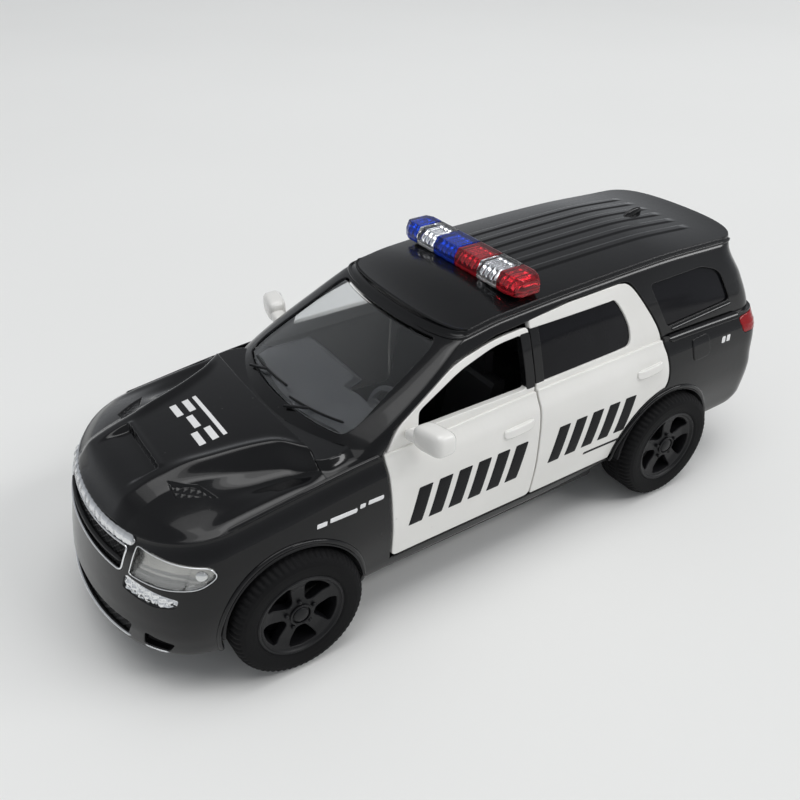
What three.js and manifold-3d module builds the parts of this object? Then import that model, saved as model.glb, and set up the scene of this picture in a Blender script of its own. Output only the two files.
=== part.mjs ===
import * as THREE from 'three';
import { mergeVertices } from 'three/addons/utils/BufferGeometryUtils.js';
import Module from 'manifold-3d';

const wasm = await Module();
wasm.setup();

// Frame: millimetres, +X is the vehicle's left, the front faces -Y, the tyres stand on z = 0

// Body sizes
const LENGTH = 125.4;
const BODY_HALF_WIDTH = 22.8;
const BELT_HALF_WIDTH = 20.7;
const ROOF_HALF_WIDTH = 16.2;
const BELT_Z = 30.8;
const ROOF_EDGE_Z = 43.9;
const ROOF_CROWN = 1.3;
const SILL_Z = 8.4;
const HOOD_EDGE_Z = 26.2;
const HOOD_RISE = 5.2;
const FRONT_DEPTH = 13.5;
const REAR_DEPTH = 7;
const COWL_SETBACK = 33;
const HEADER_SETBACK = 54.8;
const SKIN = 1.2;
const GAP = 0.35;

// Running gear sizes
const FRONT_OVERHANG = 23.9;
const WHEELBASE = 75;
const TYRE_R = 10.4;
const TYRE_WIDTH = 8;
const RIM_R = 6.6;
const TRACK_INSET = 1.7;
const AXLE_R = 1;
const ARCH_R = 11.2;
const ARCH_LIP = 1.1;
const RUN_FIT = 0.15;

// Door sizes
const DOOR_FRONT_SETBACK = 40.6;
const DOOR_LENGTH = 28.3;
const DOOR_BOTTOM_Z = 11.4;
const DOOR_TOP_Z = 40.6;
const HINGE_SETBACK = 4;
const HINGE_X = 19.5;
const HINGE_PIN_R = 0.6;
const LUG_R = 1.3;

// Light bar sizes
const BAR_HALF_LENGTH = 15.8;
const BAR_WIDTH = 6.4;
const BAR_FRONT_SETBACK = 67.2;
const BAR_LENS_HEIGHT = 2.1;
const BAR_BASE_HEIGHT = 0.6;

// Chassis and motor sizes
const BASE_Z = 6.6;
const BASE_T = 1.4;
const SCREW_R = 0.9;
const SCREW_HEAD_R = 1.8;
const POST_R = 2.2;
const MODULE = 0.4;
const PINION_TEETH = 10;
const IDLER_TEETH = 20;
const IDLER_PINION_TEETH = 10;
const BARREL_TEETH = 24;
const CASE_WALL = 0.8;

// Places that follow from the sizes
const FRONT_Y = -LENGTH / 2;
const REAR_Y = LENGTH / 2;
// Setbacks, wheelbase and door length were measured on the usual length and stretch with it
const STRETCH = LENGTH / 125.4;
const FRONT_AXLE_Y = FRONT_Y + FRONT_OVERHANG * STRETCH;
const REAR_AXLE_Y = FRONT_AXLE_Y + WHEELBASE * STRETCH;
const COWL_Y = FRONT_Y + COWL_SETBACK * STRETCH;
const HEADER_Y = FRONT_Y + HEADER_SETBACK * STRETCH;
const DOOR_FRONT_Y = FRONT_Y + DOOR_FRONT_SETBACK * STRETCH;
const DOOR_REAR_Y = DOOR_FRONT_Y + DOOR_LENGTH * STRETCH;
const HINGE_Y = DOOR_FRONT_Y + HINGE_SETBACK;
const ARCH_Z = TYRE_R;
const TRACK_HALF = BODY_HALF_WIDTH - TRACK_INSET;

// Smooth rising or falling curve through a few [place, value] stations
function curve(stations) {
  const last = stations.length - 1;
  const slope = (i) => {
    if (i === 0 || i === last) return 0;
    const before = (stations[i][1] - stations[i - 1][1]) / (stations[i][0] - stations[i - 1][0]);
    const after = (stations[i + 1][1] - stations[i][1]) / (stations[i + 1][0] - stations[i][0]);
    return before * after > 0 ? (2 * before * after) / (before + after) : 0;
  };
  const slopes = stations.map((_, i) => slope(i));
  return (place) => {
    if (place <= stations[0][0]) return stations[0][1];
    if (place >= stations[last][0]) return stations[last][1];
    const i = stations.findIndex((station) => station[0] > place) - 1;
    const span = stations[i + 1][0] - stations[i][0];
    const t = (place - stations[i][0]) / span;
    const rise = stations[i + 1][1] - stations[i][1];
    const bend = (slopes[i] * (1 - t) - slopes[i + 1] * t) * span + (2 * t - 1) * rise;
    return stations[i][1] + t * rise + t * (1 - t) * bend;
  };
}

const mix = (a, b, t) => a + (b - a) * t;
const smooth = (t) => {
  const c = Math.min(1, Math.max(0, t));
  return c * c * (3 - 2 * c);
};

// A closed solid that can be joined, cut and placed
class Solid {
  constructor(body) {
    this.body = body;
  }

  static from(positions, triangles) {
    const made = (triVerts) => new wasm.Manifold(new wasm.Mesh({
      numProp: 3,
      vertProperties: new Float32Array(positions),
      triVerts: new Uint32Array(triVerts),
    }));
    const first = made(triangles);
    return new Solid(first.volume() > 0 ? first : made([...triangles].reverse()));
  }

  add(other) {
    return new Solid(this.body.add(other.body));
  }

  subtract(other) {
    return new Solid(this.body.subtract(other.body));
  }

  intersect(other) {
    return new Solid(this.body.intersect(other.body));
  }

  placed(matrix) {
    const mesh = this.body.getMesh();
    const points = new THREE.BufferAttribute(new Float32Array(mesh.vertProperties), 3);
    return Solid.from(points.applyMatrix4(matrix).array, mesh.triVerts);
  }

  translate([x, y, z]) {
    return this.placed(new THREE.Matrix4().makeTranslation(x, y, z));
  }

  rotate(degrees) {
    const turns = degrees.map(THREE.MathUtils.degToRad);
    return this.placed(new THREE.Matrix4().makeRotationFromEuler(new THREE.Euler(...turns, 'ZYX')));
  }

  scale([x, y, z]) {
    return this.placed(new THREE.Matrix4().makeScale(x, y, z));
  }

  geometry() {
    const mesh = this.body.getMesh();
    const geometry = new THREE.BufferGeometry();
    geometry.setAttribute('position', new THREE.BufferAttribute(new Float32Array(mesh.vertProperties),
      3));
    geometry.setIndex(new THREE.BufferAttribute(new Uint32Array(mesh.triVerts), 1));
    return geometry;
  }
}

// Solid from a closed three.js geometry: shared corners are merged and empty triangles dropped
function solid(geometry) {
  const bare = new THREE.BufferGeometry();
  bare.setAttribute('position', geometry.getAttribute('position').clone());
  bare.setIndex(geometry.getIndex());
  const merged = mergeVertices(bare, 1e-4);
  const source = merged.getIndex().array;
  const triangles = [];
  for (let i = 0; i < source.length; i += 3) {
    const [a, b, c] = [source[i], source[i + 1], source[i + 2]];
    if (a !== b && b !== c && c !== a) triangles.push(a, b, c);
  }
  return Solid.from(merged.getAttribute('position').array, triangles);
}

const union = (...solids) => solids.reduce((all, one) => all.add(one));
const mirrored = (piece) => piece.scale([-1, 1, 1]);
const both = (piece) => piece.add(mirrored(piece));

// Solids from outlines and turned profiles
function rounded(corners, radius = 0) {
  const shape = new THREE.Shape();
  corners.forEach((corner, i) => {
    const here = new THREE.Vector2(...corner);
    const before = new THREE.Vector2(...corners[(i + corners.length - 1) % corners.length]);
    const after = new THREE.Vector2(...corners[(i + 1) % corners.length]);
    const r = corner[2] ?? radius;
    const reach = Math.min(r, here.distanceTo(before) * 0.45, here.distanceTo(after) * 0.45);
    const start = here.clone().add(before.sub(here).setLength(reach));
    const end = here.clone().add(after.sub(here).setLength(reach));
    if (i === 0) shape.moveTo(start.x, start.y);
    else shape.lineTo(start.x, start.y);
    if (reach > 0.01) shape.quadraticCurveTo(here.x, here.y, end.x, end.y);
  });
  shape.closePath();
  return shape;
}

const asShape = (outline) => (outline instanceof THREE.Shape ? outline : rounded(outline));

function prismZ(outline, z0, z1, steps = 2) {
  const options = { depth: z1 - z0, bevelEnabled: false, curveSegments: steps };
  return solid(new THREE.ExtrudeGeometry(asShape(outline), options).translate(0, 0, z0));
}

// Outline in (y, z), pushed along X
function prismX(outline, x0, x1, steps = 2) {
  const swap = new THREE.Matrix4().set(0, 0, 1, 0, 1, 0, 0, 0, 0, 1, 0, 0, 0, 0, 0, 1);
  return prismZ(outline, x0, x1, steps).placed(swap);
}

// Outline in (x, z), pushed along Y
function prismY(outline, y0, y1, steps = 2) {
  return prismZ(outline, -y1, -y0, steps).rotate([90, 0, 0]);
}

// Outline in (along, z), pushed outward through a slanted face that looks along `angle` in plan
function prismFacing(outline, centre, angle, near, far, steps = 2) {
  return prismX(outline, near, far, steps).rotate([0, 0, angle]).translate([...centre, 0]);
}

function box(x0, x1, y0, y1, z0, z1) {
  const geometry = new THREE.BoxGeometry(x1 - x0, y1 - y0, z1 - z0);
  return solid(geometry.translate((x0 + x1) / 2, (y0 + y1) / 2, (z0 + z1) / 2));
}

// Profile of [radius, height] pairs, turned about Z
function turned(profile, segments) {
  const points = [...profile, profile[0]].map(([r, h]) => new THREE.Vector2(r, h));
  return solid(new THREE.LatheGeometry(points, segments).rotateX(Math.PI / 2));
}

const rodZ = (r, z0, z1, segments = 16) => turned([[0, z0], [r, z0], [r, z1], [0, z1]], segments);
const alongX = (body) => body.rotate([0, 90, 0]);
const rodX = (r, x0, x1, segments = 16) => alongX(rodZ(r, x0, x1, segments));

// Body surface: rows go round the plan outline from the front centre to the rear centre
const ROWS = [];
for (let i = 0; i <= 6; i += 1) ROWS.push({ part: 'front', turn: (i / 6) * Math.PI / 2 });
for (let i = 1; i < 8; i += 1) ROWS.push({ part: 'side', along: i / 8 });
for (let i = 3; i >= 0; i -= 1) ROWS.push({ part: 'rear', turn: (i / 3) * Math.PI / 2 });

function planPoint(row, halfWidth, frontY, rearY, frontDepth, rearDepth) {
  if (row.part === 'front') {
    const across = Math.sin(row.turn) ** 0.95;
    return [halfWidth * across, frontY + frontDepth * (1 - Math.cos(row.turn) ** 0.95)];
  }
  if (row.part === 'rear') {
    const across = Math.sin(row.turn) ** 0.55;
    return [halfWidth * across, rearY - rearDepth * (1 - Math.cos(row.turn) ** 0.55)];
  }
  return [halfWidth, mix(frontY + frontDepth, rearY - rearDepth, row.along)];
}

// Closed loft through mirrored half rings; each half ring climbs from the sill to the centre line
function loft(halfRings) {
  const rings = halfRings.map((half) => {
    const other = half.slice(0, -1).reverse().map(([x, y, z]) => [-x, y, z]);
    return [...half, ...other];
  });
  const count = rings[0].length;
  const positions = rings.flat(2);
  const triangles = [];
  for (let i = 0; i + 1 < rings.length; i += 1) {
    for (let j = 0; j < count; j += 1) {
      const a = i * count + j;
      const b = i * count + (j + 1) % count;
      triangles.push(a, a + count, b, b, a + count, b + count);
    }
  }
  const geometry = new THREE.BufferGeometry();
  geometry.setAttribute('position', new THREE.BufferAttribute(new Float32Array(positions), 3));
  geometry.setIndex(triangles);
  return solid(geometry);
}

// Lower body: level 0 is the bottom edge and level 1 the shoulder
const LEVELS = [0, 0.06, 0.16, 0.45, 0.72, 0.88, 1];
const INNER_LEVELS = [0, 0.16, 0.72, 1];
const CAP_STEPS = [0.92, 0.78, 0.64, 0.5, 0.3, 0];
const wallTuck = curve([[0, 1.7], [0.05, 1], [0.14, 0.6], [0.45, 0], [0.7, 0.2], [0.86, 0.75],
  [1, BODY_HALF_WIDTH - BELT_HALF_WIDTH]]);
const frontTuck = curve([[0, 0.6], [0.06, 0], [0.2, 0], [0.35, 0.4], [0.55, 1.2], [0.7, 1.8],
  [0.86, 2.5], [1, 3.6]]);
const rearTuck = curve([[0, 2.2], [0.14, 0.3], [0.45, 0], [0.6, 0.5], [0.86, 0.4], [1, 0.7]]);
const bottomZ = curve([[FRONT_Y, SILL_Z - 1.6], [FRONT_AXLE_Y, SILL_Z - 0.8], [DOOR_FRONT_Y, SILL_Z],
  [DOOR_REAR_Y, SILL_Z + 0.3], [REAR_AXLE_Y, SILL_Z + 1.8], [REAR_Y, SILL_Z + 2.4]]);
const shoulderZ = curve([[FRONT_Y + 3, HOOD_EDGE_Z - 1], [FRONT_Y + 12, HOOD_EDGE_Z],
  [COWL_Y, HOOD_EDGE_Z + 2.6], [DOOR_FRONT_Y, BELT_Z - 1.3], [DOOR_REAR_Y, BELT_Z - 0.2],
  [REAR_AXLE_Y, BELT_Z + 0.4], [REAR_Y, BELT_Z]]);
const hoodZ = curve([[FRONT_Y + 3, HOOD_EDGE_Z - 0.4], [FRONT_Y + 7, HOOD_EDGE_Z + 2.3],
  [FRONT_Y + 12, HOOD_EDGE_Z + 4], [FRONT_Y + 19, HOOD_EDGE_Z + HOOD_RISE - 0.3],
  [COWL_Y, HOOD_EDGE_Z + HOOD_RISE + 1.2], [DOOR_FRONT_Y, BELT_Z - 1]]);
const ridgeX = curve([[FRONT_Y + 10, 7.5], [FRONT_Y + 20, 9.5], [FRONT_Y + 27, 12], [COWL_Y, 16.5]]);
const flare = (y, level) => [FRONT_AXLE_Y, REAR_AXLE_Y].reduce((sum, wheel) => {
  const near = (y - wheel) / 12;
  return sum + 0.6 * Math.exp(-near * near) * Math.sin(Math.PI * Math.min(1, level * 1.15));
}, 0);

// Hood: a raised centre plateau between two ridges, with lower shoulders outside them
function hoodHeight(x, y, edgeX) {
  const edge = shoulderZ(y);
  const rise = hoodZ(y) - edge;
  const u = Math.min(1, x / Math.max(edgeX, 0.01));
  const side = edge + rise * 0.84 * (1 - u ** 2.3);
  const plateau = hoodZ(y) - 0.002 * x * x;
  return mix(side, Math.max(side, plateau), smooth((ridgeX(y) + 3 - x) / 3));
}

function lowerBody(inset) {
  const open = inset > 0;
  return loft(ROWS.map((row) => {
    const place = (level) => planPoint(row, BODY_HALF_WIDTH - wallTuck(level) - inset,
      FRONT_Y + frontTuck(level) + inset, REAR_Y - rearTuck(level) - inset,
      FRONT_DEPTH - inset, REAR_DEPTH - inset);
    const half = (open ? INNER_LEVELS : LEVELS).map((level) => {
      const [x, y] = place(level);
      const wide = x + flare(y, level) * (x / BODY_HALF_WIDTH);
      return [wide, y, mix(bottomZ(y), shoulderZ(y) - Math.max(0, inset), level)];
    });
    const [edgeX, edgeY, edgeZ] = half[half.length - 1];
    const cap = CAP_STEPS.map((step) => {
      const x = edgeX * step;
      return [x, edgeY, Math.max(edgeZ, hoodHeight(x, edgeY, edgeX) - Math.max(0, inset))];
    });
    const skirt = open ? [[half[0][0], half[0][1], -5]] : [];
    return [...skirt, ...half, ...cap];
  }));
}

// Greenhouse: level 0 is hidden below the belt and level 1 is the roof edge
const GREEN_LEVELS = [0, 0.2, 0.55, 0.88, 1];
const ROOF_STEPS = [0.7, 0.35, 0];
const greenTuck = curve([[0, 0.3], [0.2, 0.5], [0.55, 1.9],
  [0.9, BELT_HALF_WIDTH - ROOF_HALF_WIDTH - 0.5], [1, BELT_HALF_WIDTH - ROOF_HALF_WIDTH + 0.5]]);
const screenY = curve([[0, COWL_Y - 4], [0.2, COWL_Y], [0.9, HEADER_Y - 2.6], [1, HEADER_Y]]);
const tailY = curve([[0, REAR_Y - 0.9], [0.2, REAR_Y - 1.1], [0.55, REAR_Y - 2.6], [0.88, REAR_Y - 4.8],
  [1, REAR_Y - 4.1]]);
const screenDepth = curve([[0, 9.5], [0.2, 9], [0.6, 6.5], [1, 4]]);
const roofEdge = curve([[HEADER_Y, ROOF_EDGE_Z - 1.9], [HEADER_Y + 10, ROOF_EDGE_Z - 0.7],
  [HEADER_Y + 24, ROOF_EDGE_Z], [REAR_AXLE_Y, ROOF_EDGE_Z + 0.3], [REAR_Y - 6, ROOF_EDGE_Z - 0.3]]);
const roofRise = curve([[HEADER_Y, ROOF_CROWN - 0.5], [HEADER_Y + 14, ROOF_CROWN],
  [REAR_AXLE_Y, ROOF_CROWN], [REAR_Y - 6, ROOF_CROWN - 0.6]]);
const roofTaper = curve([[HEADER_Y, 0], [DOOR_REAR_Y, 0], [REAR_Y - 6, 1.2]]);

function greenhouse(inset) {
  return loft(ROWS.map((row) => {
    const half = GREEN_LEVELS.map((level) => {
      const wide = BELT_HALF_WIDTH - greenTuck(level) - inset;
      const [x, y] = planPoint(row, wide, screenY(level) + inset * 1.6, tailY(level) - inset * 1.1,
        screenDepth(level), 7);
      const taper = 1 - (roofTaper(y) * level) / BODY_HALF_WIDTH;
      return [x * taper, y, mix(BELT_Z - 3, roofEdge(y) - Math.max(0, inset) * 0.8, level)];
    });
    const [edgeX, edgeY, edgeZ] = half[half.length - 1];
    const cap = ROOF_STEPS.map((step) => {
      return [edgeX * step, edgeY, edgeZ + roofRise(edgeY) * (1 - step ** 2)];
    });
    return [...half, ...cap];
  }));
}

const lowerOuter = lowerBody(0);
const greenOuter = greenhouse(0);
const hull = lowerOuter.add(greenOuter);
const lowerInner = lowerBody(SKIN);
const greenInner = greenhouse(SKIN);
const innerRoom = lowerInner.add(greenInner);
const greenLayer = (outer, inner) => greenhouse(outer).subtract(greenhouse(inner));
const lowerLayer = (outer, inner) => lowerBody(outer).subtract(lowerBody(inner));

// Outlines of the openings, in (y, z) on the side
function doorOutline(grow) {
  const front = DOOR_FRONT_Y - grow;
  const rear = DOOR_REAR_Y + grow;
  return rounded([
    [front, DOOR_BOTTOM_Z - grow, 1], [rear - 1, DOOR_BOTTOM_Z - grow, 1], [rear, BELT_Z - 2, 4],
    [rear, DOOR_TOP_Z + grow, 0.6], [DOOR_REAR_Y - 6, DOOR_TOP_Z - 0.3 + grow, 3],
    [HEADER_Y - 0.2, DOOR_TOP_Z - 2.2 + grow * 1.3, 3], [front + 2.6, BELT_Z + 1.6 + grow, 2],
    [front, BELT_Z - 2, 2],
  ]);
}

function frontWindowOutline() {
  return rounded([
    [DOOR_FRONT_Y + 6.2, BELT_Z + 0.5, 0.5], [DOOR_REAR_Y - 1.6, BELT_Z + 0.5, 0.6],
    [DOOR_REAR_Y - 1.6, DOOR_TOP_Z - 1.1, 0.6], [DOOR_REAR_Y - 6.5, DOOR_TOP_Z - 1.5, 2],
    [HEADER_Y + 0.3, DOOR_TOP_Z - 3.5, 2], [DOOR_FRONT_Y + 6.8, BELT_Z + 3.2, 0.6],
  ]);
}

function rearWindowOutline(grow) {
  const low = BELT_Z + 0.9 - grow;
  const top = DOOR_TOP_Z - 0.6 + grow;
  return rounded([
    [DOOR_REAR_Y + 2.2 - grow, low, 0.6], [DOOR_REAR_Y + 19.5, low + 0.4, 1.5],
    [DOOR_REAR_Y + 21 + grow, BELT_Z + 2.4, 1], [DOOR_REAR_Y + 20.6 + grow, BELT_Z + 6, 1.5],
    [DOOR_REAR_Y + 18 + grow, top, 1], [DOOR_REAR_Y + 2.2 - grow, top, 0.6],
  ]);
}

function quarterWindowOutline(grow) {
  const low = BELT_Z + 2.2 - grow;
  const top = DOOR_TOP_Z - 0.5 + grow;
  return rounded([
    [REAR_AXLE_Y + 0.5 - grow, low, 0.8], [REAR_AXLE_Y + 16.6 + grow, low + 0.6, 1],
    [REAR_AXLE_Y + 14.4 + grow, top - 1.4, 1.5], [REAR_AXLE_Y + 10, top, 1.5],
    [REAR_AXLE_Y - 2.6 - grow, top, 0.8],
  ]);
}

// Windscreen and tail glass outlines are in (x, z)
function screenOutline(grow) {
  const low = BELT_Z + 0.7 - grow;
  const top = ROOF_EDGE_Z - 2.6 + grow;
  const half = (level) => BELT_HALF_WIDTH - greenTuck(level) - 4.6 + grow;
  return rounded([
    [-half(0.22), low, 2], [half(0.22), low, 2], [half(0.85), top, 1.2], [-half(0.85), top, 1.2],
  ]);
}

function tailGlassOutline(grow) {
  const low = BELT_Z + 2.5 - grow;
  const top = ROOF_EDGE_Z - 2.6 + grow;
  return rounded([[-13.6 - grow, low, 1.5], [13.6 + grow, low, 1.5], [11.2 + grow, top, 1.5],
    [-11.2 - grow, top, 1.5]]);
}

const screenCut = (grow) => prismY(screenOutline(grow), COWL_Y - 4, HEADER_Y + 2);
const tailGlassCut = (grow) => prismY(tailGlassOutline(grow), REAR_Y - 9, REAR_Y + 2);
const sideCut = (outline) => prismX(outline, 9, BODY_HALF_WIDTH + 6);

// Front and rear lamp openings lie on the slanted corners
const HEAD_ANGLE = -53;
const HEAD_CENTRE = [17.8, FRONT_Y + 9.3];
const TAIL_ANGLE = 50;
const TAIL_CENTRE = [17.2, REAR_Y - 4.6];
const headOutline = (grow) => rounded([
  [-5.8 - grow, HOOD_EDGE_Z - 6 - grow, 0.5], [2.5, HOOD_EDGE_Z - 6.5 - grow, 1],
  [5.9 + grow, HOOD_EDGE_Z - 4.8 - grow, 1.2], [5.9 + grow, HOOD_EDGE_Z - 2.6 + grow, 1.2],
  [-5.3 - grow, HOOD_EDGE_Z - 1.6 + grow, 0.5],
]);
const fogOutline = (grow) => rounded([
  [-7.6 - grow, HOOD_EDGE_Z - 8.6 - grow, 0.6], [0.8, HOOD_EDGE_Z - 9.6 - grow, 0.6],
  [2.4 + grow, HOOD_EDGE_Z - 7.6 + grow, 0.5], [-7 - grow, HOOD_EDGE_Z - 6.4 + grow, 0.6],
]);
const tailOutline = (grow) => rounded([
  [-4.6 - grow, BELT_Z - 4.6 - grow, 0.6], [4.6 + grow, BELT_Z - 4.6 - grow, 0.6],
  [5.6 + grow, BELT_Z - 1.4 + grow, 1], [-4.6 - grow, BELT_Z - 0.6 + grow, 0.6],
]);
const headCut = (grow) => prismFacing(headOutline(grow), HEAD_CENTRE, HEAD_ANGLE, -4, 8);
const fogCut = (grow) => prismFacing(fogOutline(grow), HEAD_CENTRE, HEAD_ANGLE, -4, 9);
const tailCut = (grow) => prismFacing(tailOutline(grow), TAIL_CENTRE, TAIL_ANGLE, -5, 8);
const grilleOutline = (grow) => rounded([
  [-11.6 - grow, HOOD_EDGE_Z - 7 - grow, 1], [11.6 + grow, HOOD_EDGE_Z - 7 - grow, 1],
  [12.4 + grow, HOOD_EDGE_Z - 2.3 + grow, 1], [-12.4 - grow, HOOD_EDGE_Z - 2.3 + grow, 1],
]);
const intakeOutline = (grow) => rounded([
  [-12 - grow, SILL_Z + 0.2 - grow, 0.8], [12 + grow, SILL_Z + 0.2 - grow, 0.8],
  [13.4 + grow, SILL_Z + 3.4 + grow, 0.8], [-13.4 - grow, SILL_Z + 3.4 + grow, 0.8],
]);
const grilleCut = (grow) => prismY(grilleOutline(grow), FRONT_Y - 2, FRONT_Y + 9);
const intakeCut = (grow) => prismY(intakeOutline(grow), FRONT_Y - 2, FRONT_Y + 9);
const plateOutline = [[-5.5, BELT_Z - 10], [5.5, BELT_Z - 10], [5.5, BELT_Z - 6.6],
  [-5.5, BELT_Z - 6.6]];

// Body shell
const FRONT_POST_Y = FRONT_Y + 10.5;
const REAR_POST_Y = REAR_Y - 6;
const archAt = (y, r) => rodX(r, BODY_HALF_WIDTH - 9, BODY_HALF_WIDTH + 6, 24)
  .translate([0, y, ARCH_Z]);
const archRooms = union(archAt(FRONT_AXLE_Y, ARCH_R), archAt(REAR_AXLE_Y, ARCH_R));
const archLips = union(archAt(FRONT_AXLE_Y, ARCH_R + ARCH_LIP), archAt(REAR_AXLE_Y, ARCH_R + ARCH_LIP));
const lipRing = lowerBody(-0.35).intersect(both(archLips));

// Relief behind the fender edge: the path of the door's front edge as it swings in
const reliefLevels = [0, 8, 13, 18].map((up) => DOOR_BOTTOM_Z + up);
const skinX = (z) => {
  const slice = (z - SILL_Z) / (shoulderZ(DOOR_FRONT_Y) - SILL_Z);
  return BODY_HALF_WIDTH - wallTuck(Math.min(1, slice)) + flare(DOOR_FRONT_Y, Math.min(1, slice));
};
const reliefProfile = reliefLevels.map((z) => [Math.hypot(skinX(z) - HINGE_X, HINGE_SETBACK + GAP), z]);
const relief = turned([[0, reliefLevels[0] - GAP], [reliefProfile[0][0], reliefLevels[0] - GAP],
  ...reliefProfile,
  [0, reliefLevels[reliefLevels.length - 1]]], 28).translate([HINGE_X, HINGE_Y, 0]);

// Hood scoop and the two diagonal vents
const SCOOP_Y = FRONT_Y + 12.4;
const scoop = prismX([[SCOOP_Y, hoodZ(SCOOP_Y) + 3], [SCOOP_Y, hoodZ(SCOOP_Y) - 0.9],
  [SCOOP_Y - 4.8, hoodZ(SCOOP_Y - 4.8) + 0.05], [SCOOP_Y - 4.8, hoodZ(SCOOP_Y) + 3]], -6.2, 6.2);
const vent = prismZ(rounded([[9, SCOOP_Y + 0.4], [12.4, SCOOP_Y + 0.3, 1.5], [15.4, SCOOP_Y + 5.4],
  [11.6, SCOOP_Y + 3.4, 2]]),
  hoodZ(SCOOP_Y) - 1.9, hoodZ(SCOOP_Y) + 4);
const ribLine = [0.34, 0.45, 0.56, 0.67, 0.78, 0.88].map((t) => mix(HEADER_Y, REAR_Y - 6, t));
const roofAt = (x, y) => {
  const across = x / (ROOF_HALF_WIDTH - 0.5 - roofTaper(y));
  return roofEdge(y) + roofRise(y) * (1 - across * across);
};
const roofRib = (x) => prismX([...ribLine.map((y) => [y, roofAt(x, y) + 0.18]),
  ...[...ribLine].reverse().map((y) => [y, roofAt(x, y) - 0.7])], x - 0.7, x + 0.7);
const ribs = union(...[1.7, 5.1, 8.5].map((x) => both(roofRib(x))));
const frontPost = rodZ(POST_R, BASE_Z + BASE_T + GAP, hoodZ(FRONT_POST_Y) - 0.3, 12)
  .translate([0, FRONT_POST_Y, 0]);
const rearPost = rodZ(POST_R, BASE_Z + BASE_T + GAP, SILL_Z + 9, 12).translate([0, REAR_POST_Y, 0])
  .add(box(-1, 1, REAR_POST_Y, REAR_Y - 0.9, SILL_Z + 4, SILL_Z + 9));
const SCREW_TOP_Z = BASE_Z + 8;
const postBores = union(rodZ(SCREW_R + 0.2, 0, SCREW_TOP_Z + 0.5, 10).translate([0, FRONT_POST_Y, 0]),
  rodZ(SCREW_R + 0.2, 0, SCREW_TOP_Z + 0.5, 10).translate([0, REAR_POST_Y, 0]));

let shell = union(hull, lipRing, ribs).subtract(innerRoom);
shell = shell.subtract(union(both(sideCut(doorOutline(GAP))), both(sideCut(rearWindowOutline(0))),
  both(sideCut(quarterWindowOutline(0)))));
shell = shell.subtract(screenCut(0)).subtract(tailGlassCut(0));
shell = shell.subtract(both(archRooms)).subtract(both(relief));
shell = shell.subtract(both(headCut(0))).subtract(both(fogCut(0))).subtract(both(tailCut(0)));
shell = shell.subtract(grilleCut(0)).subtract(intakeCut(0));
shell = shell.subtract(scoop.subtract(lowerInner)).subtract(both(vent).subtract(lowerInner));
shell = union(shell, frontPost, rearPost).subtract(postBores);
shell = shell.subtract(prismY(plateOutline, REAR_Y - 1.1, REAR_Y + 2));

// Doors with their hinge lugs and pull handles
const LUG_Z0 = DOOR_BOTTOM_Z + 3;
const LUG_Z1 = BELT_Z - 8.6;
const EAR_R = 1.05;
const EAR_T = 1.3;
const doorSkin = hull.subtract(innerRoom).intersect(sideCut(doorOutline(0)))
  .subtract(sideCut(frontWindowOutline()));
const doorLug = union(rodZ(LUG_R, LUG_Z0, LUG_Z1, 14).translate([HINGE_X, HINGE_Y, 0]),
  box(HINGE_X, BODY_HALF_WIDTH - 1, HINGE_Y - 1, HINGE_Y + 1, LUG_Z0, LUG_Z1).intersect(hull));
const HANDLE_Z = BELT_Z - 4.8;
const handleOutline = (y) => rounded([[y - 3.2, HANDLE_Z - 0.9], [y + 3.2, HANDLE_Z - 0.7],
  [y + 3.2, HANDLE_Z + 0.9],
  [y - 3.2, HANDLE_Z + 0.7]], 0.6);
const handleAt = (y) => lowerBody(-0.7).subtract(lowerBody(0.5)).intersect(sideCut(handleOutline(y)));
const MIRROR_Y = DOOR_FRONT_Y + 4.6;
const MIRROR_Z = BELT_Z + 2.1;
const mirrorSocket = (r) => rodX(r, BELT_HALF_WIDTH - 2, BELT_HALF_WIDTH + 3, 14)
  .translate([0, MIRROR_Y, MIRROR_Z - 0.6]);
const doorLeft = union(doorSkin, doorLug, handleAt(DOOR_REAR_Y - 5.2))
  .subtract(rodZ(HINGE_PIN_R + RUN_FIT, 0, BELT_Z, 10).translate([HINGE_X, HINGE_Y, 0]))
  .subtract(mirrorSocket(0.8 + RUN_FIT));
shell = union(shell, both(handleAt(DOOR_REAR_Y + 24.6)));

// Mirror housing with a stalk that plugs into the door
const housing = solid(new THREE.SphereGeometry(1, 14, 8)).scale([3, 2.1, 2.3])
  .translate([BELT_HALF_WIDTH + 4.4, MIRROR_Y + 0.6, MIRROR_Z])
  .intersect(box(0, 40, MIRROR_Y - 3, MIRROR_Y + 2, 0, 60));
const mirrorLeft = union(housing, rodX(0.8, BELT_HALF_WIDTH - 1, BELT_HALF_WIDTH + 3, 14)
  .translate([0, MIRROR_Y, MIRROR_Z - 0.6]));

// Panes: a clear face in the opening and a thin flange behind its edge
const PANE_T = 0.8;
const FLANGE = 0.6;
function pane(cut, flangeReach = FLANGE) {
  const face = greenLayer(0.25, SKIN + 0.25 + PANE_T).intersect(cut(-GAP));
  const flange = greenLayer(SKIN + 0.25, SKIN + 0.25 + PANE_T).intersect(cut(flangeReach));
  return face.add(flange);
}
const windscreen = pane(screenCut, 0.25);
const tailGlass = pane(tailGlassCut);
const rearDoorPane = pane((grow) => sideCut(rearWindowOutline(grow)));
const quarterPane = pane((grow) => sideCut(quarterWindowOutline(grow)));

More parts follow.
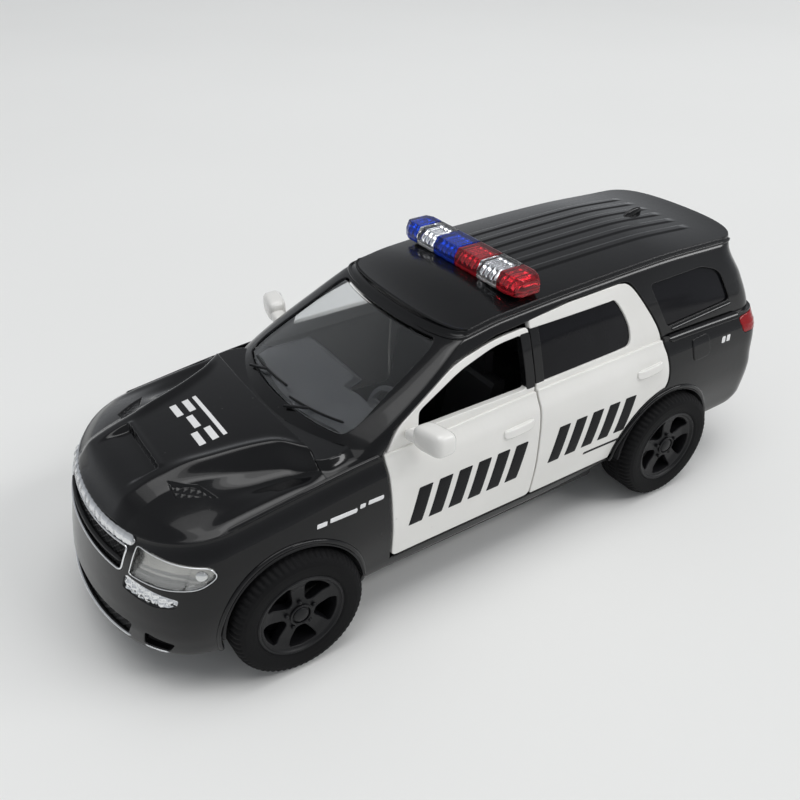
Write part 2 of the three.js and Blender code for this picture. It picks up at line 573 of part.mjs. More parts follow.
// Lamps and grille
const headLamp = lowerLayer(0.15, 2.6).intersect(headCut(-GAP));
const fogLamp = lowerLayer(0.25, 2.6).intersect(fogCut(-GAP));
const tailLamp = hull.subtract(lowerBody(2.4)).intersect(tailCut(-GAP));
const grilleBar = (z) => box(-14, 14, FRONT_Y - 2, FRONT_Y + 9, z - 0.35, z + 0.35);
const grilleBack = lowerLayer(1.3, 2.2).intersect(grilleCut(-GAP));
const grille = grilleBack.add(lowerLayer(0.6, 1.6).intersect(grilleCut(-GAP))
  .intersect(union(grilleBar(HOOD_EDGE_Z - 3.6), grilleBar(HOOD_EDGE_Z - 5.2))));
const grilleTrim = lowerLayer(0.1, 1).intersect(grilleCut(-GAP))
  .intersect(box(-14, 14, FRONT_Y - 2, FRONT_Y + 9, HOOD_EDGE_Z - 3, HOOD_EDGE_Z))
  .subtract(lowerBody(0.6 - GAP).intersect(box(-14, 14, FRONT_Y, FRONT_Y + 9, 0, HOOD_EDGE_Z - 2.9)));
const intakeGrille = lowerLayer(0.7, 1.9).intersect(intakeCut(-GAP));

// Light bar: a clear base and six lens blocks along it
const BAR_Y = FRONT_Y + BAR_FRONT_SETBACK * STRETCH + BAR_WIDTH / 2;
const BAR_Z = roofAt(0, BAR_Y) + 0.5;
const barOutline = (half, width) => rounded([[-half, -width / 2], [half, -width / 2],
  [half, width / 2], [-half, width / 2]], width * 0.47);
const barFoot = (x) => rodZ(1.1, roofAt(x, BAR_Y) + 0.25, BAR_Z + 0.1, 14).translate([x, BAR_Y, 0]);
const barBase = union(prismZ(barOutline(BAR_HALF_LENGTH, BAR_WIDTH), BAR_Z, BAR_Z + BAR_BASE_HEIGHT, 6)
  .translate([0, BAR_Y, 0]), barFoot(-9), barFoot(9));
const LENS_Z = BAR_Z + BAR_BASE_HEIGHT + 0.2;
const lensBody = union(
  prismZ(barOutline(BAR_HALF_LENGTH - 0.5, BAR_WIDTH - 1), LENS_Z, LENS_Z + BAR_LENS_HEIGHT - 0.7, 6),
  prismZ(barOutline(BAR_HALF_LENGTH - 1.1, BAR_WIDTH - 2.2), LENS_Z + 0.5, LENS_Z + BAR_LENS_HEIGHT, 6),
).translate([0, BAR_Y, 0]);
const lensEnds = [0, 5.9, 10.9, BAR_HALF_LENGTH + 1];
const lensBlock = (i) => lensBody.intersect(box(lensEnds[i] + 0.12, lensEnds[i + 1] - 0.12, BAR_Y - 9,
  BAR_Y + 9, 0, 60));

// Roof aerial fin with a peg in the roof
const FIN_Y = REAR_AXLE_Y + 10;
const finZ = roofAt(0, FIN_Y);
const fin = prismX([[FIN_Y - 2, finZ + 0.3], [FIN_Y + 1.6, finZ + 0.3], [FIN_Y + 1.4, finZ + 1.5],
  [FIN_Y + 0.6, finZ + 1.7]], -0.55, 0.55)
  .add(rodZ(0.45, finZ - 0.7, finZ + 0.6, 10).translate([0, FIN_Y, 0]));
shell = shell.subtract(rodZ(0.45 + RUN_FIT, finZ - 4, finZ + 3, 12).translate([0, FIN_Y, 0]));
const footSeat = (x) => rodZ(1.1 + RUN_FIT, roofAt(x, BAR_Y) - 0.3, roofAt(x, BAR_Y) + 3, 14)
  .translate([x, BAR_Y, 0]);
const barFootPeg = (x) => rodZ(1.1, roofAt(x, BAR_Y) - 0.15, BAR_Z + 0.1, 14).translate([x, BAR_Y, 0]);
shell = shell.subtract(both(footSeat(9)));
const lightBarBase = union(barBase, both(barFootPeg(9)));

// Wheels: local Z is the axle direction, outward positive
const treadStep = (i) => (i % 2 === 0 ? 0.28 : 0);
function tyre() {
  const half = TYRE_WIDTH / 2;
  const bore = RIM_R + 0.3;
  const profile = [[bore, half - 1.4], [bore + 1.4, half], [TYRE_R - 0.8, half - 0.2],
    [TYRE_R - 0.15, half - 1.1],
    [TYRE_R, half - 1.9], [TYRE_R, 1.9 - half], [TYRE_R - 0.8, 0.2 - half], [bore, 1.4 - half]];
  const segments = 28;
  const positions = [];
  const triangles = [];
  const count = profile.length;
  for (let i = 0; i < segments; i += 1) {
    const turn = (i / segments) * Math.PI * 2;
    profile.forEach(([r, h], k) => {
      const radius = k === 3 ? r - treadStep(i) : r;
      positions.push(radius * Math.cos(turn), radius * Math.sin(turn), h);
    });
    profile.forEach((_, k) => {
      const a = i * count + k;
      const b = i * count + (k + 1) % count;
      const c = ((i + 1) % segments) * count + k;
      const d = ((i + 1) % segments) * count + (k + 1) % count;
      triangles.push(a, c, b, b, c, d);
    });
  }
  const geometry = new THREE.BufferGeometry();
  geometry.setAttribute('position', new THREE.BufferAttribute(new Float32Array(positions), 3));
  geometry.setIndex(triangles);
  return solid(geometry);
}

const HUB_R = 2;
const HUB_REACH = 3.3;
const AXLE_END = TRACK_HALF + 1.6;
function rim() {
  const half = TYRE_WIDTH / 2;
  const ring = turned([[RIM_R - 0.8, -half + 0.4], [RIM_R, -half + 0.4], [RIM_R, half - 1.1],
    [RIM_R + 0.6, half - 0.6],
    [RIM_R + 0.6, half - 0.3], [RIM_R - 0.3, half - 0.3], [RIM_R - 0.8, half - 1.2]], 24);
  const spoke = prismZ(rounded([[HUB_R - 0.6, -1.1], [RIM_R - 0.3, -0.75], [RIM_R - 0.3, 0.75],
    [HUB_R - 0.6, 1.1]]), half - 2.6, half - 0.9);
  const spokes = [0, 1, 2, 3, 4].map((i) => spoke.rotate([0, 0, 90 + i * 72]));
  const hub = turned([[0, -half + 1], [HUB_R, -half + 1], [HUB_R, half - 0.9],
    [HUB_R - 0.4, HUB_REACH], [0, HUB_REACH]], 14);
  return union(ring, hub, ...spokes).subtract(rodZ(AXLE_R + 0.1, -half - 1,
    AXLE_END - TRACK_HALF + 0.3, 12));
}
const wheelPlace = (body, y) => alongX(body).translate([TRACK_HALF, y, TYRE_R]);
const axle = (y) => rodX(AXLE_R, -AXLE_END, AXLE_END, 12).translate([0, y, TYRE_R]);

// Chassis base with axle saddles, screw recesses and tray pegs
const BASE_TOP = BASE_Z + BASE_T;
const wheelRoom = ARCH_R + 0.6;
const baseHalf = [[0, FRONT_Y + 4.4], [9, FRONT_Y + 5.2], [14.5, FRONT_Y + 8],
  [14.5, FRONT_AXLE_Y + wheelRoom],
  [19.4, FRONT_AXLE_Y + wheelRoom + 1.5], [19.4, REAR_AXLE_Y - wheelRoom - 1.5],
  [14.5, REAR_AXLE_Y - wheelRoom],
  [14.5, REAR_AXLE_Y + wheelRoom], [17, REAR_AXLE_Y + wheelRoom + 1.5], [15, REAR_Y - 4.6],
  [0, REAR_Y - 3.8]];
const baseOutline = rounded([...baseHalf, ...baseHalf.slice(1, -1).reverse()
  .map(([x, y]) => [-x, y])], 0.8);
const saddle = (y) => box(10.4, 13.4, y - 2.3, y + 2.3, BASE_Z + 0.5, TYRE_R + 2.3);
const axleBore = (y) => rodX(AXLE_R + RUN_FIT, -30, 30, 12).translate([0, y, TYRE_R]);
const screwHole = (y) => rodZ(SCREW_R + 0.2, 0, BASE_TOP + 1, 10)
  .add(rodZ(SCREW_HEAD_R + 0.2, 0, BASE_Z + 0.8, 16))
  .translate([0, y, 0]);
const TRAY_Z = 11.2;
const peg = (x, y) => rodZ(1.2, BASE_TOP - 0.3, TRAY_Z - 0.3, 8).translate([x, y, 0]);
const chassisBlank = union(prismZ(baseOutline, BASE_Z, BASE_TOP), both(saddle(FRONT_AXLE_Y)),
  both(saddle(REAR_AXLE_Y)),
  both(peg(14, DOOR_FRONT_Y + 7)), both(peg(14, DOOR_REAR_Y + 5)))
  .subtract(union(axleBore(FRONT_AXLE_Y), axleBore(REAR_AXLE_Y), screwHole(FRONT_POST_Y),
  screwHole(REAR_POST_Y)));
const screw = (y) => turned([[0, BASE_Z + 0.15], [SCREW_HEAD_R, BASE_Z + 0.15],
  [SCREW_HEAD_R, BASE_Z + 0.6],
  [SCREW_R, BASE_Z + 0.75], [SCREW_R, SCREW_TOP_Z - 0.6], [0.3, SCREW_TOP_Z], [0, SCREW_TOP_Z]], 10)
  .subtract(union(box(-1.1, 1.1, -0.2, 0.2, 0, BASE_Z + 0.45),
  box(-0.2, 0.2, -1.1, 1.1, 0, BASE_Z + 0.45)))
  .translate([0, y, 0]);

// Pull-back motor: axle pinion, idler pair and spring barrel inside a two-part case
const pitchR = (teeth) => (teeth * MODULE) / 2;
const MESH_SLACK = 0.08;
const IDLER_DROP = 3.7;
const IDLER_SPAN = pitchR(PINION_TEETH) + pitchR(IDLER_TEETH) + MESH_SLACK;
const IDLER_Y = REAR_AXLE_Y - Math.sqrt(IDLER_SPAN ** 2 - IDLER_DROP ** 2);
const IDLER_Z = TYRE_R + IDLER_DROP;
const BARREL_SPAN = pitchR(IDLER_PINION_TEETH) + pitchR(BARREL_TEETH) + MESH_SLACK;
const BARREL_Z = IDLER_Z + 0.9;
const BARREL_Y = IDLER_Y - Math.sqrt(BARREL_SPAN ** 2 - (BARREL_Z - IDLER_Z) ** 2);

// Gear with tapered teeth; `facing` is the plan angle in (y, z) that gets a tooth or a gap
function gear(teeth, x0, x1, facing, gapThere) {
  const pitch = (2 * Math.PI) / teeth;
  const tip = pitchR(teeth) + MODULE * 0.8;
  const root = pitchR(teeth) - MODULE;
  const start = facing + (gapThere ? pitch / 2 : 0);
  const shape = new THREE.Shape();
  for (let i = 0; i < teeth; i += 1) {
    const middle = start + i * pitch;
    const flank = [[root, -0.29], [tip, -0.1], [tip, 0.1], [root, 0.29]];
    flank.forEach(([r, part], k) => {
      const turn = middle + part * pitch;
      const step = i === 0 && k === 0 ? 'moveTo' : 'lineTo';
      shape[step](r * Math.cos(turn), r * Math.sin(turn));
    });
  }
  shape.closePath();
  return prismX(shape, x0, x1);
}
const toIdler = Math.atan2(IDLER_Z - TYRE_R, IDLER_Y - REAR_AXLE_Y);
const toBarrel = Math.atan2(BARREL_Z - IDLER_Z, BARREL_Y - IDLER_Y);
const SHAFT_R = 0.55;
const axlePinion = gear(PINION_TEETH, -4, -1.6, toIdler, false).subtract(rodX(AXLE_R + 0.05, -5, 5, 12))
  .translate([0, REAR_AXLE_Y, TYRE_R]);
const idlerGear = union(gear(IDLER_TEETH, -3.6, -2, toIdler + Math.PI, true),
  gear(IDLER_PINION_TEETH, -2, 3.2, toBarrel, false), rodX(SHAFT_R, -4.9, 4.9, 10))
    .translate([0, IDLER_Y, IDLER_Z]);
const DRUM_R = pitchR(BARREL_TEETH) - MODULE - 0.5;
const barrelGear = union(gear(BARREL_TEETH, 1.4, 3, toBarrel + Math.PI, true),
  rodX(DRUM_R, -1.4, 1.6, 20).subtract(rodX(DRUM_R - 0.5, -3, 1, 20)))
  .subtract(rodX(SHAFT_R + RUN_FIT, -9, 9, 10)).translate([0, BARREL_Y, BARREL_Z]);

// Mainspring: a flat spiral strip wound on the barrel post
function spring() {
  const turns = 3.25;
  const steps = 40;
  const inner = SHAFT_R + 0.2;
  const outer = DRUM_R - 0.95;
  const radius = (t) => mix(inner, outer, t);
  const spiral = (t, side) => {
    const angle = t * turns * Math.PI * 2;
    return [(radius(t) + side) * Math.cos(angle), (radius(t) + side) * Math.sin(angle)];
  };
  const line = Array.from({ length: steps + 1 }, (_, i) => i / steps);
  const band = [...line.map((t) => spiral(t, 0.11)), ...[...line].reverse()
    .map((t) => spiral(t, -0.11))];
  return prismX(band, -1.2, 0.6).translate([0, BARREL_Y, BARREL_Z]);
}

const PINION_ROOM = rodX(pitchR(PINION_TEETH) + MODULE + 0.3, -4.3, -1.3, 16)
  .translate([0, REAR_AXLE_Y, TYRE_R]);
const CASE_HALF = 5.2;
const CASE_Z0 = BASE_TOP + GAP;
const CASE_Z1 = BARREL_Z + pitchR(BARREL_TEETH) + MODULE + 0.6 + CASE_WALL;
const CASE_Y0 = BARREL_Y - pitchR(BARREL_TEETH) - MODULE - 0.6 - CASE_WALL;
const CASE_Y1 = REAR_AXLE_Y + pitchR(PINION_TEETH) + MODULE + 0.7 + CASE_WALL;
const caseOutline = (inset) => rounded([[CASE_Y0 + inset, CASE_Z0 + inset, 1],
  [CASE_Y1 - inset, CASE_Z0 + inset, 1],
  [CASE_Y1 - inset, TYRE_R + 3.6 - inset, 1.5], [IDLER_Y + 3.6, CASE_Z1 - 0.6 - inset, 2],
  [CASE_Y0 + inset, CASE_Z1 - inset, 3]]);
const caseBores = union(axleBore(REAR_AXLE_Y), rodX(SHAFT_R + RUN_FIT, -30, 30, 10)
  .translate([0, IDLER_Y, IDLER_Z]));
const barrelPost = rodX(SHAFT_R, -CASE_HALF + CASE_WALL / 2, CASE_HALF - CASE_WALL - 0.3, 10)
  .translate([0, BARREL_Y, BARREL_Z]);
const caseCup = prismX(caseOutline(0), -CASE_HALF, CASE_HALF - CASE_WALL - 0.15)
  .subtract(prismX(caseOutline(CASE_WALL), -CASE_HALF + CASE_WALL, CASE_HALF + 1)).subtract(caseBores)
  .subtract(PINION_ROOM).add(barrelPost);
const chassis = chassisBlank.subtract(PINION_ROOM);
const caseCover = prismX(caseOutline(0), CASE_HALF - CASE_WALL, CASE_HALF).subtract(caseBores);

// Cabin: stepped tray with hinge ears, seats, dashboard and steering wheel
const DECK_Z = CASE_Z1 + 0.5;
const STEP_Y = CASE_Y0 - 2;
const trayProfile = [[DOOR_FRONT_Y + 1.5, TRAY_Z], [STEP_Y + 1.2, TRAY_Z], [STEP_Y + 1.2, DECK_Z],
  [REAR_Y - 16, DECK_Z],
  [REAR_Y - 16, DECK_Z + 1.2], [STEP_Y, DECK_Z + 1.2], [STEP_Y, TRAY_Z + 1.2],
  [DOOR_FRONT_Y + 1.5, TRAY_Z + 1.2]];
const TRAY_HALF = 16.6;
const ear = (z0, z1) => union(rodZ(EAR_R, z0, z1, 14).translate([HINGE_X, HINGE_Y, 0]),
  box(TRAY_HALF - 1, HINGE_X, HINGE_Y - 0.9, HINGE_Y + 0.9, z0, z1));
const cheek = box(TRAY_HALF - 1.2, TRAY_HALF, HINGE_Y - 1.6, HINGE_Y + 3, TRAY_Z, LUG_Z1 + GAP + EAR_T);
const ears = union(cheek, ear(LUG_Z0 - GAP - EAR_T, LUG_Z0 - GAP),
  ear(LUG_Z1 + GAP, LUG_Z1 + GAP + EAR_T))
  .subtract(rodZ(HINGE_PIN_R + 0.1, 0, LUG_Z1 + GAP + EAR_T - 0.4, 10)
  .translate([HINGE_X, HINGE_Y, 0]));
const tray = union(prismX(trayProfile, -TRAY_HALF, TRAY_HALF), both(ears));
const hingePin = rodZ(HINGE_PIN_R, LUG_Z0 - GAP - EAR_T + 0.2, LUG_Z1 + GAP + EAR_T - 0.7, 10)
  .translate([HINGE_X, HINGE_Y, 0]);

const SEAT_Z = TRAY_Z + 1.2 + GAP;
function seat(y, x0, x1, floor, back) {
  const outline = rounded([[y, floor], [y + 11, floor], [y + 14, back, 1], [y + 11.4, back, 1],
    [y + 8.4, floor + 4.4, 1],
    [y, floor + 4.8, 1]]);
  return prismX(outline, x0, x1);
}
const frontSeat = union(seat(DOOR_FRONT_Y + 14, 3, 13.6, SEAT_Z, BELT_Z - 1.4),
  box(6.2, 10.4, DOOR_FRONT_Y + 26, DOOR_FRONT_Y + 27.7, BELT_Z - 3, BELT_Z + 2.4));
const bench = seat(STEP_Y + 4, -14.5, 14.5, DECK_Z + 1.2 + GAP, BELT_Z + 1);
const dashboard = prismX(rounded([[COWL_Y + 4.4, BELT_Z - 8, 0.8], [DOOR_FRONT_Y + 5, BELT_Z - 8, 1],
  [DOOR_FRONT_Y + 3.6, BELT_Z - 2.6, 1.2], [COWL_Y + 6.6, BELT_Z - 1.6, 1]]), -14.4, 14.4)
  .add(box(-2, 2, COWL_Y + 6, DOOR_FRONT_Y + 4.2, TRAY_Z + 1.2 + GAP, BELT_Z - 7));
const wheelTilt = (body) => body.rotate([62, 0, 0]).translate([8.3, DOOR_FRONT_Y + 7.6, BELT_Z - 3.2]);
const steering = wheelTilt(union(
  turned([[3.1, -0.4], [3.9, -0.4], [3.9, 0.4], [3.1, 0.4]], 18),
  box(-3.4, 3.4, -0.6, 0.6, -0.35, 0.35), rodZ(0.8, -0.5, 3.4, 12),
));
const steeringSocket = wheelTilt(rodZ(0.8 + RUN_FIT, 1.5, 3.9, 12));

// Assembly
const group = new THREE.Group();
const paint = {
  body: [0x1b1c1f, 0.3], door: [0xf2f1ec, 0.35], glass: [0x6d7578, 0.1], dark: [0x1c1c20, 0.15],
  chrome: [0xc9ccd0, 0.2], lamp: [0xd8dde0, 0.15], red: [0xb01c2c, 0.2], blue: [0x1a34c8, 0.2],
  clear: [0xe4e8ec, 0.1], plastic: [0x18181a, 0.6], rubber: [0x141416, 0.9], rim: [0x232427, 0.55],
  metal: [0xa9abae, 0.35], nylon: [0xe9e4d4, 0.5],
};

function piece(name, body, look) {
  const [color, roughness] = paint[look];
  const metalness = look === 'metal' || look === 'chrome' ? 0.9 : 0;
  const material = new THREE.MeshStandardMaterial({ color, roughness, metalness });
  const mesh = new THREE.Mesh(body.geometry(), material);
  mesh.name = name;
  group.add(mesh);
}

function pair(name, left, look) {
  piece(`${name}_left`, left, look);
  piece(`${name}_right`, mirrored(left), look);
}

piece('body_shell', shell, 'body');
pair('door', doorLeft, 'door');
pair('hinge_pin', hingePin, 'metal');
pair('mirror', mirrorLeft, 'door');
piece('windscreen', windscreen, 'glass');
pair('rear_door_window', rearDoorPane, 'dark');
pair('quarter_window', quarterPane, 'dark');
piece('tail_window', tailGlass, 'dark');
piece('grille', grille, 'plastic');
piece('grille_trim', grilleTrim, 'chrome');
piece('intake_grille', intakeGrille, 'plastic');
pair('headlight', headLamp, 'lamp');
pair('fog_lamp', fogLamp, 'chrome');
pair('tail_light', tailLamp, 'red');
piece('light_bar_base', lightBarBase, 'clear');
piece('lens_red_inner', lensBlock(0), 'red');
piece('lens_clear_left', lensBlock(1), 'clear');
piece('lens_red_end', lensBlock(2), 'red');
piece('lens_blue_inner', mirrored(lensBlock(0)), 'blue');
piece('lens_clear_right', mirrored(lensBlock(1)), 'clear');
piece('lens_blue_end', mirrored(lensBlock(2)), 'blue');
piece('roof_aerial', fin, 'plastic');
piece('chassis_base', chassis, 'plastic');
piece('base_screw_front', screw(FRONT_POST_Y), 'metal');
piece('base_screw_rear', screw(REAR_POST_Y), 'metal');
piece('interior_tray', tray, 'plastic');
pair('front_seat', frontSeat, 'plastic');
piece('rear_bench', bench, 'plastic');
piece('dashboard', dashboard.subtract(steeringSocket), 'plastic');
piece('steering_wheel', steering, 'plastic');
piece('front_axle', axle(FRONT_AXLE_Y), 'metal');
piece('rear_axle', axle(REAR_AXLE_Y), 'metal');
pair('front_rim', wheelPlace(rim(), FRONT_AXLE_Y), 'rim');
pair('rear_rim', wheelPlace(rim(), REAR_AXLE_Y), 'rim');
pair('front_tyre', wheelPlace(tyre(), FRONT_AXLE_Y), 'rubber');
pair('rear_tyre', wheelPlace(tyre(), REAR_AXLE_Y), 'rubber');
piece('motor_case', caseCup, 'nylon');
piece('motor_cover', caseCover, 'nylon');
piece('axle_pinion', axlePinion, 'metal');
piece('idler_gear', idlerGear, 'nylon');
piece('barrel_gear', barrelGear, 'nylon');
piece('mainspring', spring(), 'metal');

export default group;
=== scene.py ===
# %% [markdown]
# # A die-cast patrol utility model, dressed in Blender
#
# The solids of this toy were drawn and packed before. They fix every size, joint and resting place. This
# notebook loads them as a frame and lays finished surfaces over them: smooth painted panels, clear lenses,
# rubber tyres. All formulas work in millimetres and are turned into metres when a mesh is made.

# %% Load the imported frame
import bpy
import numpy as np
from mathutils import Matrix, Vector
from mathutils.geometry import delaunay_2d_cdt


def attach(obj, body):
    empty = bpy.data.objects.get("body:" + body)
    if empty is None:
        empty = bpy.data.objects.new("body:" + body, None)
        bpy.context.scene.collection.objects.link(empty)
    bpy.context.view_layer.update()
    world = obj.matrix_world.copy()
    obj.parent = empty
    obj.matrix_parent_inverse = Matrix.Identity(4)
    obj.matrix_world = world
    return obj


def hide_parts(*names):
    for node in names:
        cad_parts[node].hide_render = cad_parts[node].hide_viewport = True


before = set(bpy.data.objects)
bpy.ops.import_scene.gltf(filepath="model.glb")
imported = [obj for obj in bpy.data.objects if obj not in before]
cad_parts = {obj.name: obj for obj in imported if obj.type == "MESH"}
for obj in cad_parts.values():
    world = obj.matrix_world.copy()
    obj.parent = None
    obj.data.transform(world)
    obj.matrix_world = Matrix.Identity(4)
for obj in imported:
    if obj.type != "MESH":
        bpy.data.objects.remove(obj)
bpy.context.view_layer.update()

MM = 0.001

# %% [markdown]
# ## Camera
#
# The photograph looks down on the toy's left front corner. Its wheels, door corners and roof corners were used
# to work out where the lens stood, so the camera is placed by those numbers.

# %% Camera
scene = bpy.context.scene
AZIMUTH, ELEVATION = np.radians(56.685), np.radians(32.815)
LENS_PLACE = np.array([104.82, -74.81, 102.98])
back = np.array([np.sin(AZIMUTH) * np.cos(ELEVATION), -np.cos(AZIMUTH) * np.cos(ELEVATION), np.sin(ELEVATION)])

camera_data = bpy.data.cameras.new("photo_camera")
camera_data.lens, camera_data.sensor_width, camera_data.clip_start = 38.86, 36, 0.005
camera = bpy.data.objects.new("photo_camera", camera_data)
camera.location = LENS_PLACE * MM
camera.rotation_euler = Vector(-back).to_track_quat("-Z", "Y").to_euler()
scene.collection.objects.link(camera)
scene.camera = camera
scene.view_settings.view_transform = "Standard"
print("camera at", np.round(LENS_PLACE, 1))

# %% [markdown]
# ## Node helpers
#
# Every finish here is a small node tree. These helpers keep the cells short: one adds a node with its values, one
# starts a material with a Principled shader, and four stand for the nodes that come up again and again.


# %% Material helpers
def add_node(tree, kind, inputs=None, **settings):
    """One node of a tree, with settings on the node and numbers or links on its inputs."""
    node = tree.nodes.new(kind)
    for name, value in settings.items():
        setattr(node, name, value)
    for name, value in (inputs or {}).items():
        if isinstance(value, bpy.types.NodeSocket):
            tree.links.new(value, node.inputs[name])
        else:
            node.inputs[name].default_value = value
    return node


def start_material(name, **sockets):
    """A material with one Principled shader; plain numbers go on the shader's own sockets."""
    material = bpy.data.materials.new(name)
    material.use_nodes = True
    shader = material.node_tree.nodes["Principled BSDF"]
    for socket, value in sockets.items():
        shader.inputs[socket.replace("_", " ")].default_value = value
    return material, material.node_tree, shader


def object_place(tree):
    """Object coordinates of the piece, in metres."""
    return add_node(tree, "ShaderNodeTexCoord").outputs["Object"]


def noise(tree, place, scale, detail):
    """Value of a noise texture at a place."""
    return add_node(tree, "ShaderNodeTexNoise", {"Vector": place, "Scale": scale, "Detail": detail}).outputs["Fac"]


def ranged(tree, value, start, end, low=0.0, high=1.0):
    """A value carried from one range to another and kept inside it."""
    return add_node(tree, "ShaderNodeMapRange", {"Value": value, "From Min": start, "From Max": end,
                                                 "To Min": low, "To Max": high}).outputs[0]


def shade_between(tree, mask, dark, light):
    """A colour that moves between two tones as the mask goes from 0.3 to 0.7."""
    ramp = add_node(tree, "ShaderNodeValToRGB", {"Fac": mask})
    for stop, position, tone in zip(ramp.color_ramp.elements, (0.3, 0.7), (dark, light)):
        stop.position, stop.color = position, (*tone, 1)
    return ramp.outputs["Color"]


# %% [markdown]
# ## Shared effects
#
# Sprayed enamel on a small casting is never a mirror: it has a faint orange peel and a few settled dust specks.
# Moulded plastic has a fine spark-eroded grain. Both are used by many finishes, so each is built once as a node
# group that puts out masks and heights only.

# %% Effect groups
def new_group(name, scales, outputs):
    """An empty node group with a place and float inputs (name, default); gives the group and its input sockets."""
    group = bpy.data.node_groups.new(name, "ShaderNodeTree")
    group.interface.new_socket("Place", in_out="INPUT", socket_type="NodeSocketVector")
    for label, value in scales.items():
        group.interface.new_socket(label, in_out="INPUT", socket_type="NodeSocketFloat").default_value = value
    for label in outputs:
        group.interface.new_socket(label, in_out="OUTPUT", socket_type="NodeSocketFloat")
    return group, group.nodes.new("NodeGroupInput").outputs


def make_peel_group():
    """Orange peel: soft noise as height, and rare sharp noise peaks as settled dust."""
    group, given = new_group("enamel_peel", {"Peel Scale": 900.0, "Dust Scale": 420.0}, ["Height", "Dust", "Cloud"])
    peel = noise(group, given["Place"], given["Peel Scale"], 1.0)
    cloud = noise(group, given["Place"], 55.0, 3.0)
    cells = add_node(group, "ShaderNodeTexVoronoi", {"Vector": given["Place"], "Scale": given["Dust Scale"]})
    speck, rare = ranged(group, cells.outputs["Distance"], 0.085, 0.05), ranged(group, cloud, 0.52, 0.62)
    dust = add_node(group, "ShaderNodeMath", {0: speck, 1: rare}, operation="MULTIPLY").outputs[0]
    add_node(group, "NodeGroupOutput", {"Height": peel, "Dust": dust, "Cloud": cloud})
    return group


def make_grain_group():
    """Moulded grain: fine noise as height, broad noise as a slow change of shade."""
    group, given = new_group("moulded_grain", {"Grain Scale": 2600.0, "Shade Scale": 90.0}, ["Height", "Shade"])
    add_node(group, "NodeGroupOutput", {"Height": noise(group, given["Place"], given["Grain Scale"], 2.0),
                                        "Shade": noise(group, given["Place"], given["Shade Scale"], 4.0)})
    return group


PEEL, GRAIN = make_peel_group(), make_grain_group()
print("effect groups", PEEL.name, GRAIN.name)

# %% [markdown]
# ## Paint, plastic, rubber and metal
#
# The shell is gloss black enamel and the doors warm white. The mouldings are satin black plastic, the tyres matt
# rubber. Each finish mixes two close tones by the group's slow noise, so no surface is one flat colour.


# %% Finishes
def mixed_finish(name, group, mask, tones, rough, bump=None, dust=None, **sockets):
    """A finish on an effect group: its mask moves tone and roughness, its height (distance, strength) the normal."""
    material, tree, shader = start_material(name, **sockets)
    effect = add_node(tree, "ShaderNodeGroup", {"Place": object_place(tree)}, node_tree=group).outputs
    tone = shade_between(tree, effect[mask], *tones)
    if dust:
        tone = add_node(tree, "ShaderNodeMix", {"Factor": effect["Dust"], "A": tone, "B": (*dust, 1)},
                        data_type="RGBA").outputs["Result"]
    tree.links.new(tone, shader.inputs["Base Color"])
    tree.links.new(ranged(tree, effect[mask], 0, 1, *rough), shader.inputs["Roughness"])
    if bump:
        height = {"Height": effect["Height"], "Distance": bump[0], "Strength": bump[1]}
        tree.links.new(add_node(tree, "ShaderNodeBump", height).outputs[0], shader.inputs["Normal"])
    return material


def enamel(name, dark, light, dust, rough, coat, shine=0.4):
    """Sprayed enamel: clear coat over colour, orange peel in the normal, dust specks in colour."""
    return mixed_finish(name, PEEL, "Cloud", (dark, light), (rough * 0.8, rough * 1.3), (0.00003, 0.5), dust,
                        Coat_Weight=coat, Coat_Roughness=0.05, Specular_IOR_Level=shine)


def moulded(name, dark, light, rough, grain=0.00003, **sockets):
    """Moulded plastic or rubber: grain in the normal, slow shade in colour and roughness."""
    return mixed_finish(name, GRAIN, "Shade", (dark, light), (rough * 0.85, rough * 1.15), (grain, 0.6), **sockets)


def clear_plastic(name, dark, light, rough, passing, ior):
    """Clear or tinted plastic: light passes with a plain weight, and flow lines vary its tint."""
    return mixed_finish(name, GRAIN, "Shade", (dark, light), (rough * 0.7, rough * 1.3),
                        Transmission_Weight=passing, IOR=ior)


BLACK_PAINT = enamel("black_enamel", (0.0035, 0.0035, 0.004), (0.0065, 0.0065, 0.0072), (0.03, 0.03, 0.03), 0.2, 0.42,
                     shine=0.13)
WHITE_PAINT = enamel("white_enamel", (0.76, 0.75, 0.72), (0.83, 0.82, 0.79), (0.62, 0.61, 0.58), 0.24, 0.5)
SATIN_BLACK = moulded("satin_black_plastic", (0.006, 0.006, 0.007), (0.012, 0.012, 0.013), 0.42,
                      Specular_IOR_Level=0.3)
# Painted light: the dashboard grey is made pale to stand in for light that the windscreen keeps off the interior.
DASH_PAINTED_LIGHT = moulded("dash_painted_light", (0.17, 0.17, 0.176), (0.21, 0.21, 0.217), 0.55)
CABIN_BLACK = moulded("cabin_plastic", (0.009, 0.009, 0.01), (0.018, 0.018, 0.019), 0.5)
RIM_BLACK = moulded("rim_plastic", (0.005, 0.005, 0.006), (0.01, 0.01, 0.011), 0.42, Specular_IOR_Level=0.26)
TYRE_RUBBER = moulded("tyre_rubber", (0.004, 0.004, 0.0045), (0.009, 0.009, 0.0095), 0.68, 0.00005,
                      Specular_IOR_Level=0.12)
BRIGHT_CHROME = moulded("vacuum_chrome", (0.74, 0.75, 0.77), (0.86, 0.87, 0.88), 0.14, 0.00001, Metallic=1.0)
DRAWN_STEEL = moulded("drawn_steel", (0.46, 0.46, 0.47), (0.6, 0.6, 0.61), 0.3, 0.00002, Metallic=1.0)
PLAIN_NYLON = moulded("natural_nylon", (0.72, 0.68, 0.58), (0.8, 0.77, 0.68), 0.48)
SILVER_BOWL = moulded("silver_bowl", (0.42, 0.42, 0.41), (0.54, 0.54, 0.53), 0.26, 0.00002, Metallic=0.85)
PALE_PLATE = moulded("pale_plate", (0.6, 0.6, 0.58), (0.68, 0.68, 0.66), 0.45)
